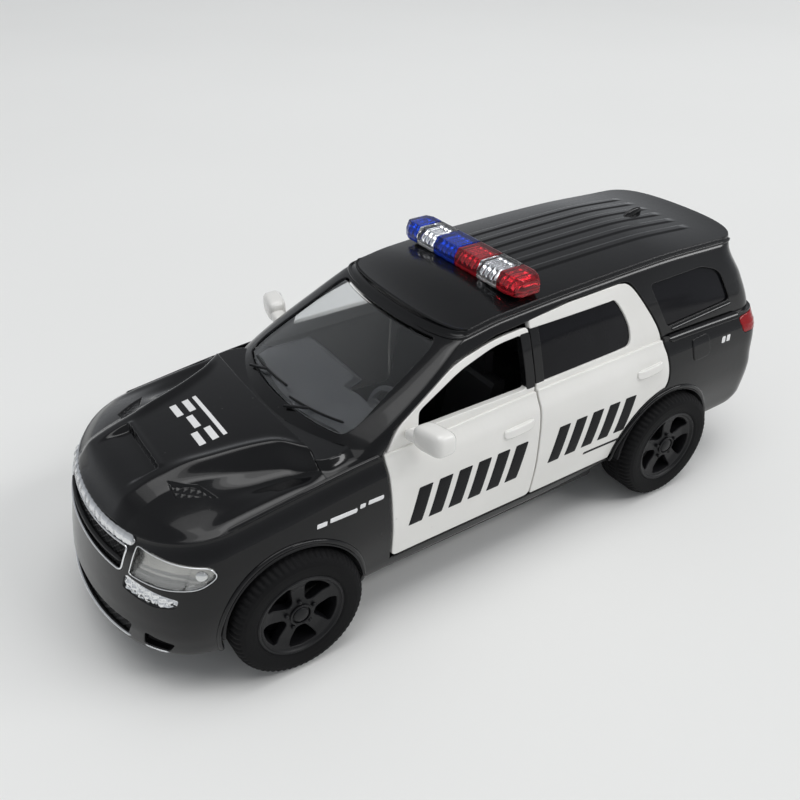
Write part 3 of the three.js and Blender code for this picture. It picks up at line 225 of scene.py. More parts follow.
WHITE_PRINT = moulded("white_print", (0.72, 0.72, 0.72), (0.82, 0.82, 0.82), 0.45)
BLACK_PRINT = moulded("black_print", (0.005, 0.005, 0.006), (0.009, 0.009, 0.01), 0.4, Specular_IOR_Level=0.15)
SMOKED_PANE = moulded("smoked_pane", (0.004, 0.004, 0.0055), (0.008, 0.008, 0.01), 0.07, 0.000004,
                      Specular_IOR_Level=0.16)
CLEAR_SCREEN = clear_plastic("clear_screen", (0.72, 0.74, 0.75), (0.79, 0.81, 0.82), 0.04, 1.0, 1.55)
LAMP_CLEAR = clear_plastic("lamp_clear", (0.88, 0.88, 0.87), (0.95, 0.95, 0.94), 0.05, 1.0, 1.2)
BAR_CLEAR = clear_plastic("bar_clear", (0.86, 0.87, 0.89), (0.94, 0.95, 0.96), 0.05, 1.0, 1.42)
BAR_RED = clear_plastic("bar_red", (0.66, 0.012, 0.025), (0.8, 0.03, 0.05), 0.05, 0.94, 1.42)
BAR_BLUE = clear_plastic("bar_blue", (0.003, 0.045, 0.66), (0.008, 0.08, 0.8), 0.05, 0.92, 1.42)
TAIL_RED = clear_plastic("tail_red", (0.34, 0.008, 0.012), (0.5, 0.015, 0.02), 0.12, 0.4, 1.35)
print("finishes", len(bpy.data.materials))

# %% [markdown]
# ## Making a piece
#
# A finished piece is a mesh whose place is in its own points, so its object stays at the origin. The helper takes
# millimetre arrays, sets the finish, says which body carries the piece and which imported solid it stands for. Most
# parts of a car come in pairs, so a second helper adds a list of left parts and then their mirror images.

# %% Piece helpers
BODY, DOORS = "model_body", {"left": "left_door", "right": "right_door"}


def unit(vectors):
    """The vectors scaled to length one."""
    return vectors / np.maximum(np.linalg.norm(vectors, axis=-1, keepdims=True), 1e-9)


def add(name, made, finish, nodes=(), body=BODY):
    """Mesh object of a made part: points (mm), faces, and one normal per point or None."""
    points, faces, normals = made
    mesh = bpy.data.meshes.new(name)
    mesh.from_pydata(points * MM, [], [tuple(face) for face in faces])
    mesh.shade_smooth()
    if normals is not None:
        mesh.normals_split_custom_set_from_vertices(unit(normals))
    mesh.materials.append(finish)
    new = bpy.data.objects.new(name, mesh)
    scene.collection.objects.link(new)
    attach(new, body)
    if nodes:
        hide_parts(*nodes)
    return new


def mirrored(points, faces, normals):
    """The same part for the toy's right side: X changes sign and each face turns round."""
    flip = np.array([-1, 1, 1])
    return points * flip, [tuple(face)[::-1] for face in faces], None if normals is None else normals * flip


def pairs(*rows):
    """Rows of (name, made, finish, slot, node, body) for the left side, then mirrored; no body means the door's."""
    for side, door in DOORS.items():
        for name, made, finish, slot, node, body in rows:
            add(f"{name}_{side}", made if side == "left" else mirrored(*made), finish,
                [f"{node}_{side}"] if node else (), body or door)


def quads(rows, columns, wrap_rows=False, wrap_columns=False):
    """Faces of a grid of points stored row by row; wrapping joins the last row or column to the first."""
    index = np.arange(rows * columns).reshape(rows, columns)
    if wrap_rows:
        index = np.vstack([index, index[:1]])
    if wrap_columns:
        index = np.hstack([index, index[:, :1]])
    return np.stack([index[:-1, :-1], index[1:, :-1], index[1:, 1:], index[:-1, 1:]], -1).reshape(-1, 4)


def tube(rings, count, flip=False):
    """Faces of a tube stored ring by ring, with one face over each end; flip turns all of them round."""
    last = (rings - 1) * count
    faces = [tuple(face) for face in quads(rings, count, wrap_columns=True)]
    faces += [tuple(range(count)), tuple(range(last + count - 1, last - 1, -1))]
    return [face[::-1] for face in faces] if flip else faces


def joined(*parts):
    """Several closed parts as one."""
    starts = np.cumsum([0] + [len(part[0]) for part in parts])
    faces = [tuple(np.asarray(face) + start) for part, start in zip(parts, starts) for face in part[1]]
    return np.vstack([part[0] for part in parts]), faces, None


print("bodies of the doors", *DOORS.values())

# %% [markdown]
# ## The body as two lofts
#
# The casting is a lower body with a cabin on top. Going round the plan, a parameter runs from the middle of the
# nose, along one side, to the middle of the tail. Going up, a level runs from 0 at the bottom edge to 1 at the
# shoulder (or roof edge). The corner of the plan is a superellipse, and smooth station curves pull the section in
# and out, exactly as in the solids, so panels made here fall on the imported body.

# %% Station curves
FRONT_Y, REAR_Y = -62.7, 62.7
FRONT_AXLE_Y, REAR_AXLE_Y, AXLE_Z = -38.8, 36.2, 10.4
COWL_Y, HEADER_Y = -29.7, -7.9
DOOR_FRONT_Y, DOOR_REAR_Y, DOOR_LOW_Z, DOOR_TOP_Z = -22.1, 6.2, 11.4, 40.6
BODY_HALF, BELT_HALF, ROOF_HALF = 22.8, 20.7, 16.2
SILL_Z, BELT_Z, ROOF_EDGE_Z, ROOF_CROWN, HOOD_EDGE_Z, HOOD_RISE = 8.4, 30.8, 43.9, 1.3, 26.2, 5.2
FRONT_DEPTH, REAR_DEPTH, CABIN_TAIL_DEPTH, ARCH_R = 13.5, 7.0, 7.0, 11.2
CABIN_BASE_Z = BELT_Z - 3


def mix(a, b, t):
    """Straight mix: a at t = 0, b at t = 1."""
    return a + (b - a) * t


def ease(t):
    """0 to 1 with a soft start and end: 3t squared minus 2t cubed."""
    t = np.clip(t, 0, 1)
    return t * t * (3 - 2 * t)


def bell(x, middle, width):
    """Bell curve: e to minus the square of the distance from the middle over the width."""
    return np.exp(-((x - middle) / width) ** 2)


def curve(*stations):
    """Monotone cubic through (place, value) stations: harmonic-mean slopes, so it never overshoots."""
    place, value = np.array(stations, float).T
    steps = np.diff(value) / np.diff(place)
    product = steps[:-1] * steps[1:]
    total = np.where(product > 0, steps[:-1] + steps[1:], 1)
    slope = np.concatenate([[0], np.where(product > 0, 2 * product / total, 0), [0]])

    def at(x):
        x = np.clip(x, place[0], place[-1])
        i = np.clip(np.searchsorted(place, x, "right") - 1, 0, len(place) - 2)
        span = place[i + 1] - place[i]
        t = (x - place[i]) / span
        rise = value[i + 1] - value[i]
        bend = (slope[i] * (1 - t) - slope[i + 1] * t) * span + (2 * t - 1) * rise
        return value[i] + t * rise + t * (1 - t) * bend

    return at


wall_tuck = curve((0, 1.7), (0.05, 1), (0.14, 0.6), (0.45, 0), (0.7, 0.2), (0.86, 0.75), (1, BODY_HALF - BELT_HALF))
nose_tuck = curve((0, 0.8), (0.06, 0.25), (0.2, 0.25), (0.35, 0.6), (0.55, 1.3), (0.7, 1.9), (0.86, 2.55), (1, 3.6))
tail_tuck = curve((0, 2.4), (0.14, 0.6), (0.45, 0.35), (0.6, 0.7), (0.86, 0.6), (1, 0.8))
bottom_z = curve((FRONT_Y, SILL_Z - 1.6), (FRONT_AXLE_Y, SILL_Z - 0.8), (DOOR_FRONT_Y, SILL_Z),
                 (DOOR_REAR_Y, SILL_Z + 0.3), (REAR_AXLE_Y, SILL_Z + 1.8), (REAR_Y, SILL_Z + 2.4))
shoulder_z = curve((FRONT_Y + 3, HOOD_EDGE_Z - 1), (FRONT_Y + 12, HOOD_EDGE_Z), (COWL_Y, HOOD_EDGE_Z + 2.6),
                   (DOOR_FRONT_Y, BELT_Z - 1.3), (DOOR_REAR_Y, BELT_Z - 0.2), (REAR_AXLE_Y, BELT_Z + 0.4),
                   (REAR_Y, BELT_Z))
hood_z = curve((FRONT_Y + 3, HOOD_EDGE_Z - 0.4), (FRONT_Y + 7, HOOD_EDGE_Z + 2.3), (FRONT_Y + 12, HOOD_EDGE_Z + 4),
               (FRONT_Y + 19, HOOD_EDGE_Z + HOOD_RISE - 0.3), (COWL_Y, HOOD_EDGE_Z + HOOD_RISE + 1.2),
               (DOOR_FRONT_Y, BELT_Z - 1))
ridge_x = curve((FRONT_Y + 10, 7.5), (FRONT_Y + 20, 9.5), (FRONT_Y + 27, 12), (COWL_Y, 16.5))
green_tuck = curve((0, 0.3), (0.2, 0.5), (0.55, 1.9), (0.9, BELT_HALF - ROOF_HALF - 0.5),
                   (1, BELT_HALF - ROOF_HALF + 0.5))
screen_y = curve((0, COWL_Y - 4), (0.2, COWL_Y), (0.9, HEADER_Y - 2.6), (1, HEADER_Y))
tail_y = curve((0, REAR_Y - 0.9), (0.2, REAR_Y - 1.1), (0.55, REAR_Y - 2.6), (0.88, REAR_Y - 4.8), (1, REAR_Y - 4.1))
screen_depth = curve((0, 9.5), (0.2, 9), (0.6, 6.5), (1, 4))
roof_edge = curve((HEADER_Y, ROOF_EDGE_Z - 1.9), (HEADER_Y + 10, ROOF_EDGE_Z - 0.7), (HEADER_Y + 24, ROOF_EDGE_Z),
                  (REAR_AXLE_Y, ROOF_EDGE_Z + 0.3), (REAR_Y - 6, ROOF_EDGE_Z - 0.3))
roof_rise = curve((HEADER_Y, ROOF_CROWN - 0.5), (HEADER_Y + 14, ROOF_CROWN), (REAR_AXLE_Y, ROOF_CROWN),
                  (REAR_Y - 6, ROOF_CROWN - 0.6))
roof_taper = curve((HEADER_Y, 0), (DOOR_REAR_Y, 0), (REAR_Y - 6, 1.2))
print("shoulder over the door", round(float(shoulder_z(DOOR_REAR_Y)), 2), "mm")

# %% [markdown]
# ## Surface formulas
#
# A panel is cut out of its loft in the loft's own flat map. One map direction is the length walked round the plan
# in millimetres (zero at the nose, negative on the right side), the other is the level stretched to about
# millimetres. That keeps triangles well shaped after the panel is bent into space.

# %% Lofts
NOSE_POWER, TAIL_POWER, UP_LOWER, UP_GREEN = 0.95, 0.55, 20.0, 16.0
MIDDLE = np.array([0, 0, 22.0])


def edges(y, green):
    """Heights of a loft's lower and upper edge at y."""
    return (CABIN_BASE_Z, roof_edge(y)) if green else (bottom_z(y), shoulder_z(y))


def section(level, green):
    """Half width, front, rear, nose depth and tail depth of a loft's plan at one level."""
    if green:
        return BELT_HALF - green_tuck(level), screen_y(level), tail_y(level), screen_depth(level), CABIN_TAIL_DEPTH
    return (BODY_HALF - wall_tuck(level), FRONT_Y + nose_tuck(level), REAR_Y - tail_tuck(level), FRONT_DEPTH,
            REAR_DEPTH)


def narrowing(y, level):
    """Share of the cabin's half width that is left where the roof tapers towards the tail."""
    return 1 - roof_taper(y) * level / BODY_HALF


def plan(a, half, front, rear, nose_depth, tail_depth):
    """Plan outline: a = 0..1 nose corner, 1..2 straight side, 2..3 tail corner; powers of sine and cosine."""
    nose, tail = np.clip(a, 0, 1) * np.pi / 2, np.clip(3 - a, 0, 1) * np.pi / 2
    power = lambda base, p: np.clip(base, 0, 1) ** p
    x = np.where(a > 2, half * power(np.sin(tail), TAIL_POWER), half * power(np.sin(nose), NOSE_POWER))
    along = mix(front + nose_depth, rear - tail_depth, np.clip(a - 1, 0, 1))
    y = np.where(a < 1, front + nose_depth * (1 - power(np.cos(nose), NOSE_POWER)), along)
    return x, np.where(a > 2, rear - tail_depth * (1 - power(np.cos(tail), TAIL_POWER)), y)


A_TABLE = np.concatenate([np.linspace(0, 2, 1600), 3 - np.linspace(1, 0, 1200)[1:] ** 1.8])
walk_x, walk_y = plan(A_TABLE, BODY_HALF, FRONT_Y, REAR_Y, FRONT_DEPTH, REAR_DEPTH)
Q_TABLE = np.concatenate([[0], np.cumsum(np.hypot(np.diff(walk_x), np.diff(walk_y)))])
Q_END = float(Q_TABLE[-1])


def flare(y, level):
    """Wheel-arch swelling: two bell curves along the side, fading out at the bottom and the shoulder."""
    bells = sum(bell(y, wheel, 12) for wheel in (FRONT_AXLE_Y, REAR_AXLE_Y))
    return 0.6 * bells * np.sin(np.pi * np.minimum(1, level * 1.15))


def loft(green):
    """The point formula of the cabin (green) or the lower body: plan at a level, narrowed or flared, then lifted."""
    def place(q, up):
        level = up / (UP_GREEN if green else UP_LOWER)
        x, y = plan(np.interp(np.abs(q), Q_TABLE, A_TABLE), *section(level, green))
        x = x * narrowing(y, level) if green else x + flare(y, level) * x / BODY_HALF
        return np.stack([np.sign(q) * x, y, mix(*edges(y, green), level)], -1)
    return place


def from_tail(place):
    """The same loft with the map's zero at the middle of the tail and left positive."""
    return lambda q, up: place(np.where(q >= 0, Q_END - q, -(Q_END + q)), up)


def facing(place, q, up, step=0.05):
    """Unit normal: cross product of the two map derivatives, by central differences, turned outwards."""
    normal = unit(np.cross(place(q + step, up) - place(q - step, up), place(q, up + step) - place(q, up - step)))
    out = (place(q, up) - MIDDLE) * (1, 0.35, 1)
    return normal * np.where(np.sum(normal * out, -1, keepdims=True) < 0, -1, 1)


lower_place, green_place = loft(False), loft(True)
tail_place, green_tail = from_tail(lower_place), from_tail(green_place)
print("half way round the plan is", round(Q_END, 1), "mm")

# %% [markdown]
# ## From drawings to the map
#
# Openings are easiest to draw in a side view (y, z) or a front view (x, z). The two map functions below turn such
# points into map positions by solving the loft's own formulas backwards. A drawing is a short list of corners,
# each with a radius, and the outline helper rounds them.


# %% Outlines
def resample(loop, step):
    """Closed polyline with even spacing along its length."""
    closed = np.vstack([loop, loop[:1]])
    walked = np.concatenate([[0], np.cumsum(np.linalg.norm(np.diff(closed, axis=0), axis=1))])
    keep = np.concatenate([[True], np.diff(walked) > 1e-6])
    places = np.linspace(0, walked[-1], max(8, int(walked[-1] / step)), endpoint=False)
    return np.stack([np.interp(places, walked[keep], closed[keep, k]) for k in range(2)], -1)


def outline(corners, step=0.35):
    """Closed polyline through rounded corners (a, b, radius): straight runs joined by quadratic bends."""
    corners = np.array(corners, float)
    knots = corners[:, :2]
    before, after = np.roll(knots, 1, 0) - knots, np.roll(knots, -1, 0) - knots
    far_before, far_after = np.linalg.norm(before, axis=1), np.linalg.norm(after, axis=1)
    reach = np.minimum(corners[:, 2], 0.45 * np.minimum(far_before, far_after))[:, None]
    start, end = knots + before / far_before[:, None] * reach, knots + after / far_after[:, None] * reach
    run = []
    for i in range(len(knots)):
        t = np.linspace(0, 1, max(4, int(reach[i, 0] * 2 / step)))[:, None]
        run.append((1 - t) ** 2 * start[i] + 2 * t * (1 - t) * knots[i] + t ** 2 * end[i])
    return resample(np.vstack(run), step)


def arc(centre, radius, start, end, count=40):
    """Points of a circular arc between two angles in degrees."""
    turn = np.radians(np.linspace(start, end, count))
    return np.stack([centre[0] + radius * np.cos(turn), centre[1] + radius * np.sin(turn)], -1)


def line(*stops, step=0.35):
    """Open polyline with even spacing through a few stops."""
    stops = np.array(stops, float)
    return np.vstack([np.linspace(a, b, max(2, int(np.linalg.norm(b - a) / step)), endpoint=False)
                      for a, b in zip(stops[:-1], stops[1:])] + [stops[-1:]])


def bowed(*stops, rounds=3):
    """Smooth open curve near a few stops: each round replaces a corner by points a quarter along its two runs."""
    run = np.array(stops, float)
    for _ in range(rounds):
        cut = np.stack([0.75 * run[:-1] + 0.25 * run[1:], 0.25 * run[:-1] + 0.75 * run[1:]], 1).reshape(-1, 2)
        run = np.vstack([run[:1], cut, run[-1:]])
    return run


def level_at(y, z, green):
    """Level of a height: its share of the way between the loft's two edges."""
    low, high = edges(y, green)
    return (z - low) / (high - low)


def side_map(y, z, green=False):
    """Map position of side-view points: the level from the height, then the plan parameter from y."""
    y, z = np.asarray(y, float), np.asarray(z, float)
    level = level_at(y, z, green)
    _, front, rear, nose, tail = section(level, green)
    into_nose, into_tail = np.clip(1 - (y - front) / nose, 0, 1), np.clip(1 - (rear - y) / tail, 0, 1)
    a = 1 + np.clip((y - front - nose) / (rear - tail - front - nose), 0, 1)
    a = np.where(y < front + nose, np.arccos(into_nose ** (1 / NOSE_POWER)) / (np.pi / 2), a)
    a = np.where(y > rear - tail, 3 - np.arccos(into_tail ** (1 / TAIL_POWER)) / (np.pi / 2), a)
    return np.stack([np.interp(a, A_TABLE, Q_TABLE), level * (UP_GREEN if green else UP_LOWER)], -1)


def end_map(x, z, green=False, tail=False):
    """Map position of front- or rear-view points: repeat level from height and turn from x until they agree."""
    x, z = np.asarray(x, float), np.asarray(z, float)
    y = np.full_like(x, REAR_Y - 2 if tail else (COWL_Y + 8 if green else FRONT_Y + 3))
    power = TAIL_POWER if tail else NOSE_POWER
    for _ in range(12):
        level = np.clip(level_at(y, z, green), 0, 1.02)
        half, front, rear, nose_depth, tail_depth = section(level, green)
        half = half * narrowing(y, level) if green else half
        turn = np.arcsin(np.clip(np.abs(x) / half, 0, 1) ** (1 / power))
        bend = 1 - np.cos(turn) ** power
        y = rear - tail_depth * bend if tail else front + nose_depth * bend
    a = turn / (np.pi / 2)
    q = Q_END - np.interp(3 - a, A_TABLE, Q_TABLE) if tail else np.interp(a, A_TABLE, Q_TABLE)
    return np.stack([np.sign(x) * q, level * (UP_GREEN if green else UP_LOWER)], -1)


def on_side(points, green=False):
    """Map positions of side-view points, kept between the loft's two edges."""
    flat = side_map(points[:, 0], points[:, 1], green)
    flat[:, 1] = np.clip(flat[:, 1], 0, UP_GREEN if green else UP_LOWER)
    return flat


def tail_side(points, green=False):
    """Map positions of side-view points, measured from the middle of the tail."""
    return on_side(points, green) * (-1, 1) + (Q_END, 0)


def end_loop(corners, **where):
    """Closed loop from a front- or rear-view outline."""
    return end_map(*outline(corners, 0.3).T, **where)


def corner_loop(corners, tail=False):
    """Closed loop round a body corner; a corner is (x, z, radius) on the end or ("y", y, z, radius) on the side."""
    flat = []
    for *kind, place, z, reach in corners:
        if kind:
            spot = (tail_side if tail else on_side)(np.array([[place, z]]))[0]
        else:
            spot = end_map([place], [z], tail=tail)[0]
        flat.append((*spot, reach))
    return outline(flat, 0.3)


def both_sides(left, step=0.35):
    """Closed loop from a left half that starts and ends on the middle line."""
    return resample(np.vstack([left, left[-2:0:-1] * (-1, 1)]), step)


print("side view (0, 20) lands at", np.round(lower_place(*side_map([0.0], [20.0]).T)[0], 2))

# %% [markdown]
# ## Panels with rolled edges
#
# A stamped or cast panel never ends in a knife edge. Each panel is filled with an even triangle net inside its
# outline, lifted onto the loft, and closed with four rows round every edge: a small quarter-round, a wall going in,
# and the same net again as the inner face. The rolled rim is what catches the light along door gaps.


# %% Panel helper
def inside(points, loop):
    """Which points lie in a closed polyline: count the edges crossed by a ray to the right."""
    a, b = loop, np.roll(loop, -1, 0)
    px, py = points[:, 0][:, None], points[:, 1][:, None]
    crosses = (a[:, 1] > py) != (b[:, 1] > py)
    slope = (b[:, 0] - a[:, 0]) / np.where(b[:, 1] == a[:, 1], 1e-12, b[:, 1] - a[:, 1])
    return np.sum(crosses & (px < a[:, 0] + (py - a[:, 1]) * slope), 1) % 2 == 1


def within(points, lines):
    """Which points lie inside the first closed polyline and outside all others."""
    keep = inside(points, lines[0])
    for hole in lines[1:]:
        keep &= ~inside(points, hole)
    return keep


def far_from(points, loop, gap):
    """Which points are more than gap away from every point of a polyline, worked out block by block."""
    blocks = np.array_split(points, max(1, len(points) // 400))
    return np.concatenate([np.min(np.sum((block[:, None] - loop[None]) ** 2, -1), 1) > gap * gap for block in blocks])


def shifted(loop, distance):
    """A polyline moved to its left by a distance: each corner moves along the sum of its two edge normals."""
    left = unit(np.roll(loop, -1, 0) - loop)[:, ::-1] * (-1, 1)
    before = np.roll(left, 1, 0)
    bend = np.maximum(1 + np.sum(left * before, 1, keepdims=True), 0.4)
    return loop + (left + before) / bend * distance


def turn_of(p, q, r):
    """Twice the signed area of the triangles p, q, r: positive for a left turn."""
    return (q - p)[:, 0] * (r - p)[:, 1] - (q - p)[:, 1] * (r - p)[:, 0]


def untangled(loop):
    """Drop the small knots that shifting leaves at sharp corners: the points between two edges that cross."""
    for reach in range(2, 14):
        a, b = loop, np.roll(loop, -1, 0)
        c, d = np.roll(loop, -reach, 0), np.roll(loop, -reach - 1, 0)
        hit = (turn_of(a, b, c) * turn_of(a, b, d) < 0) & (turn_of(c, d, a) * turn_of(c, d, b) < 0)
        knots = (np.flatnonzero(hit)[:, None] + 1 + np.arange(reach)).ravel() % len(loop)
        loop = np.delete(loop, np.unique(knots), 0)
    return loop


def counter_clockwise(loop):
    """The loop turned so that its inside lies on the left."""
    x, y = loop.T
    return loop if np.sum(x * np.roll(y, -1) - np.roll(x, -1) * y) > 0 else loop[::-1]


def net(loops, step):
    """Triangles inside the first loop and outside the others, on a staggered grid tied to the loops."""
    lines = [counter_clockwise(loops[0])] + [counter_clockwise(hole)[::-1] for hole in loops[1:]]
    low, high = lines[0].min(0), lines[0].max(0)
    grid = np.stack(np.meshgrid(np.arange(low[0], high[0], step), np.arange(low[1], high[1], step * 0.87)), -1)
    grid[1::2, :, 0] += step / 2
    fill = grid.reshape(-1, 2)
    fill = fill[within(fill, lines)]
    edge = np.vstack(lines)
    points = np.vstack([edge, fill[far_from(fill, edge, step * 0.55)]])
    starts = np.cumsum([0] + [len(loop) for loop in lines])
    rings = [np.arange(start, end) for start, end in zip(starts[:-1], starts[1:])]
    ties = np.vstack([np.stack([ring, np.roll(ring, -1)], -1) for ring in rings])
    made = delaunay_2d_cdt([Vector(p) for p in points], ties.tolist(), [], 0, 1e-7)
    assert len(made[0]) == len(points), f"the outline crosses itself: {len(made[0])} {len(points)}"
    triangles = np.array(made[2])
    triangles = triangles[within(points[triangles].mean(1), lines)]
    turned = turn_of(*points[triangles].swapaxes(0, 1)) < 0
    triangles[turned] = triangles[turned][:, ::-1]
    return points, triangles, rings


def closed(skin, normal, faces, rings, thick, rim):
    """Solid from an open skin: quarter-round rim, wall and the same net again as the inner face."""
    count = len(skin)
    points, normals = [skin, skin - normal * thick], [normal, -normal]
    blocks = [faces, faces[:, ::-1] + count]
    total = 2 * count
    for ring in rings:
        top, up = skin[ring], normal[ring]
        out = unit(np.cross(skin[np.roll(ring, -1)] - skin[np.roll(ring, 1)], up))
        ids = [ring]
        for turn in np.radians([30, 60, 90]):
            points.append(top + out * rim * np.sin(turn) - up * rim * (1 - np.cos(turn)))
            normals.append(up * np.cos(turn) + out * np.sin(turn))
        points.append(top + out * rim - up * thick)
        normals.append(out)
        for _ in range(4):
            ids.append(np.arange(total, total + len(ring)))
            total += len(ring)
        ids.append(ring + count)
        for near, far in zip(ids[:-1], ids[1:]):
            blocks.append(np.stack([near, far, np.roll(far, -1), np.roll(near, -1)], -1))
    return np.vstack(points), [tuple(face) for block in blocks for face in block], np.vstack(normals)


def on_skin(place, flat, lift=0.0):
    """Points and normals of a loft at map positions."""
    normal = facing(place, flat[:, 0], flat[:, 1])
    return place(flat[:, 0], flat[:, 1]) + normal * lift, normal


def panel(place, loops, step, thick=1.0, rim=0.16, lift=0.0, relief=None, keep=False):
    """Closed panel: net on the loft inside the loops. A relief (height at points) shapes it before it is closed, and
    is shaded as it lies unless the loft's normals are kept."""
    loops = [untangled(shifted(counter_clockwise(loop), rim if i == 0 else -rim)) for i, loop in enumerate(loops)]
    flat, triangles, rings = net(loops, step)
    skin, normal = on_skin(place, flat, lift)
    if relief is not None:
        skin = skin + normal * relief(skin)[:, None]
    p, q, r = skin[triangles[:200]].swapaxes(0, 1)
    if np.mean(np.sum(np.cross(q - p, r - p) * normal[triangles[:200, 0]], -1)) < 0:
        triangles, rings = triangles[:, ::-1], [ring[::-1] for ring in rings]
    made = closed(skin, normal, triangles, rings, thick, rim)
    return made if relief is None or keep else (*made[:2], None)


def sheet(grid, thick=0.8, rim=0.14):
    """Closed plate from a grid of points whose rows and columns turn right-handed about the outside."""
    rows, columns = grid.shape[:2]
    normal = unit(np.cross(np.gradient(grid, axis=0), np.gradient(grid, axis=1)))
    ids = np.arange(rows * columns).reshape(rows, columns)
    ring = np.concatenate([ids[:-1, 0], ids[-1, :-1], ids[:0:-1, -1], ids[0, :0:-1]])
    return closed(grid.reshape(-1, 3), normal.reshape(-1, 3), quads(rows, columns), [ring], thick, rim)


def bead(path, normal, wide, tall, count=10, loop=False):
    """Rounded strip: an ellipse, wide across the skin and tall along its normal, carried along a path."""
    ahead = np.roll(path, -1, 0) - np.roll(path, 1, 0) if loop else np.gradient(path, axis=0)
    across = unit(np.cross(normal, ahead))
    walked = np.concatenate([[0], np.cumsum(np.linalg.norm(np.diff(path, axis=0), axis=1))])
    end = np.clip(np.minimum(walked, walked[-1] - walked) / wide, 0, 1)
    size = np.ones(len(path)) if loop else np.sqrt(np.clip(1 - (1 - end) ** 2, 0.03, 1))
    turn = -np.arange(count) * 2 * np.pi / count
    c, s = np.cos(turn)[None, :, None], np.sin(turn)[None, :, None]
    points = path[:, None] + size[:, None, None] * (across[:, None] * wide * c + normal[:, None] * tall * s)
    out = across[:, None] * c / wide + normal[:, None] * s / tall
    faces = quads(len(path), count, True, True) if loop else tube(len(path), count)
    return points.reshape(-1, 3), faces, out.reshape(-1, 3)


print("panel helper ready")

# %% [markdown]
# ## Nose, fenders and sills
#
# On the casting the nose, both front fenders and the strips under the doors are one skin. Its outline walks along
# the shoulder, down the door gap, back along the sill and over the wheel arch. Lamps, grille and intake are holes
# in it.

# %% Front skin
GAP, SILL_END_Y = 0.32, 25.0
FRONT_ARCH, REAR_ARCH = (FRONT_AXLE_Y, AXLE_Z), (REAR_AXLE_Y, AXLE_Z)
MIRROR = np.array([-1, 1])


def arch_run(centre, radius, start, end):
    """Map positions along a wheel arch, only where it lies above the skin's lower edge."""
    points = arc(centre, radius, start, end, 120)
    return on_side(points[points[:, 1] > bottom_z(points[:, 0]) + 0.25])


front_arch = arch_run(FRONT_ARCH, ARCH_R, -20, 200)
rear_arch = arch_run(REAR_ARCH, ARCH_R, 170, -20)
hinge_top = (DOOR_FRONT_Y - GAP, shoulder_z(DOOR_FRONT_Y))
front_half = np.vstack([
    line((0, UP_LOWER), on_side(np.array([hinge_top]))[0]),
    on_side(line(hinge_top, (DOOR_FRONT_Y - GAP, DOOR_LOW_Z - GAP))),
    on_side(line((DOOR_FRONT_Y, DOOR_LOW_Z - GAP), (SILL_END_Y, DOOR_LOW_Z - GAP))),
    line(on_side(np.array([[SILL_END_Y, 10.0]]))[0] * (1, 0), front_arch[0] * (1, 0)),
    front_arch,
    line(front_arch[-1] * (1, 0), (0, 0)),
])
head_loop = corner_loop([(13.0, 19.8, 0.5), (18.4, 19.5, 1.5), ("y", -51.6, 20.1, 1.6), ("y", -49.0, 21.8, 0.9),
                         ("y", -49.8, 23.2, 0.9), (13.3, 24.4, 0.5)])
fog_loop = corner_loop([(12.1, 17.2, 0.5), (17.2, 16.4, 0.8), (19.9, 17.0, 0.5), (20.1, 18.2, 0.5), (12.4, 19.4, 0.5)])
slot_loop = corner_loop([(15.4, 8.7, 0.4), (18.7, 8.5, 0.4), (19.5, 10.0, 0.4), (16.0, 11.2, 0.4)])
grille_loop = end_loop([(-11.7, 19.3, 1), (11.7, 19.3, 1), (12.5, 23.7, 1), (-12.5, 23.7, 1)])
intake_loop = end_loop([(-12.4, 8.5, 0.8), (12.4, 8.5, 0.8), (14, 11.7, 0.9), (-14, 11.7, 0.9)])
lamp_holes = [loop * sign for loop in (head_loop, fog_loop, slot_loop) for sign in ((1, 1), MIRROR)]
front_skin = panel(lower_place, [both_sides(front_half), *lamp_holes, grille_loop, intake_loop], 0.5)
add("nose_and_fenders", front_skin, BLACK_PAINT, ["body_shell"])
print("nose and fenders", len(front_skin[1]), "faces")

# %% [markdown]
# ## Rear quarters and tail
#
# The rear skin is mapped from the middle of the tail outwards, so the tailgate has no join. Its front edge is the
# edge of the white paint, which swings down from the pillar and follows the wheel arch.

# %% Rear skin
WHITE_EDGE = bowed((34.9, 31.2), (35.3, 28.8), (35.6, 26.4), (35.4, 24.0), (34.66, 22.9))
ARCH_BAND = ARCH_R + 1.3
rear_half = np.vstack([
    line((0, UP_LOWER), (tail_side(WHITE_EDGE[:1])[0, 0], UP_LOWER)),
    tail_side(line(*WHITE_EDGE)),
    tail_side(arc(REAR_ARCH, ARCH_BAND, 97, 173)),
    rear_arch * MIRROR + (Q_END, 0),
    line((Q_END - rear_arch[-1, 0], 0), (0, 0)),
])
tail_loop = corner_loop([(10.2, 27.0, 0.6), (20.2, 27.0, 0.6), ("y", 55.2, 27.2, 0.8), ("y", 54.4, 30.0, 1.0),
                         (20.0, 30.4, 0.8), (10.2, 30.4, 0.6)], tail=True)
rear_skin = panel(tail_place, [both_sides(rear_half), tail_loop, tail_loop * MIRROR], 0.55)
add("rear_quarters", rear_skin, BLACK_PAINT)
print("rear quarters", len(rear_skin[1]), "faces")

# %% [markdown]
# ## White doors
#
# The front doors open and ride on their own bodies. The rear doors belong to the casting and are only painted
# white, but they get a panel of their own because the photo shows a fine groove all round them.

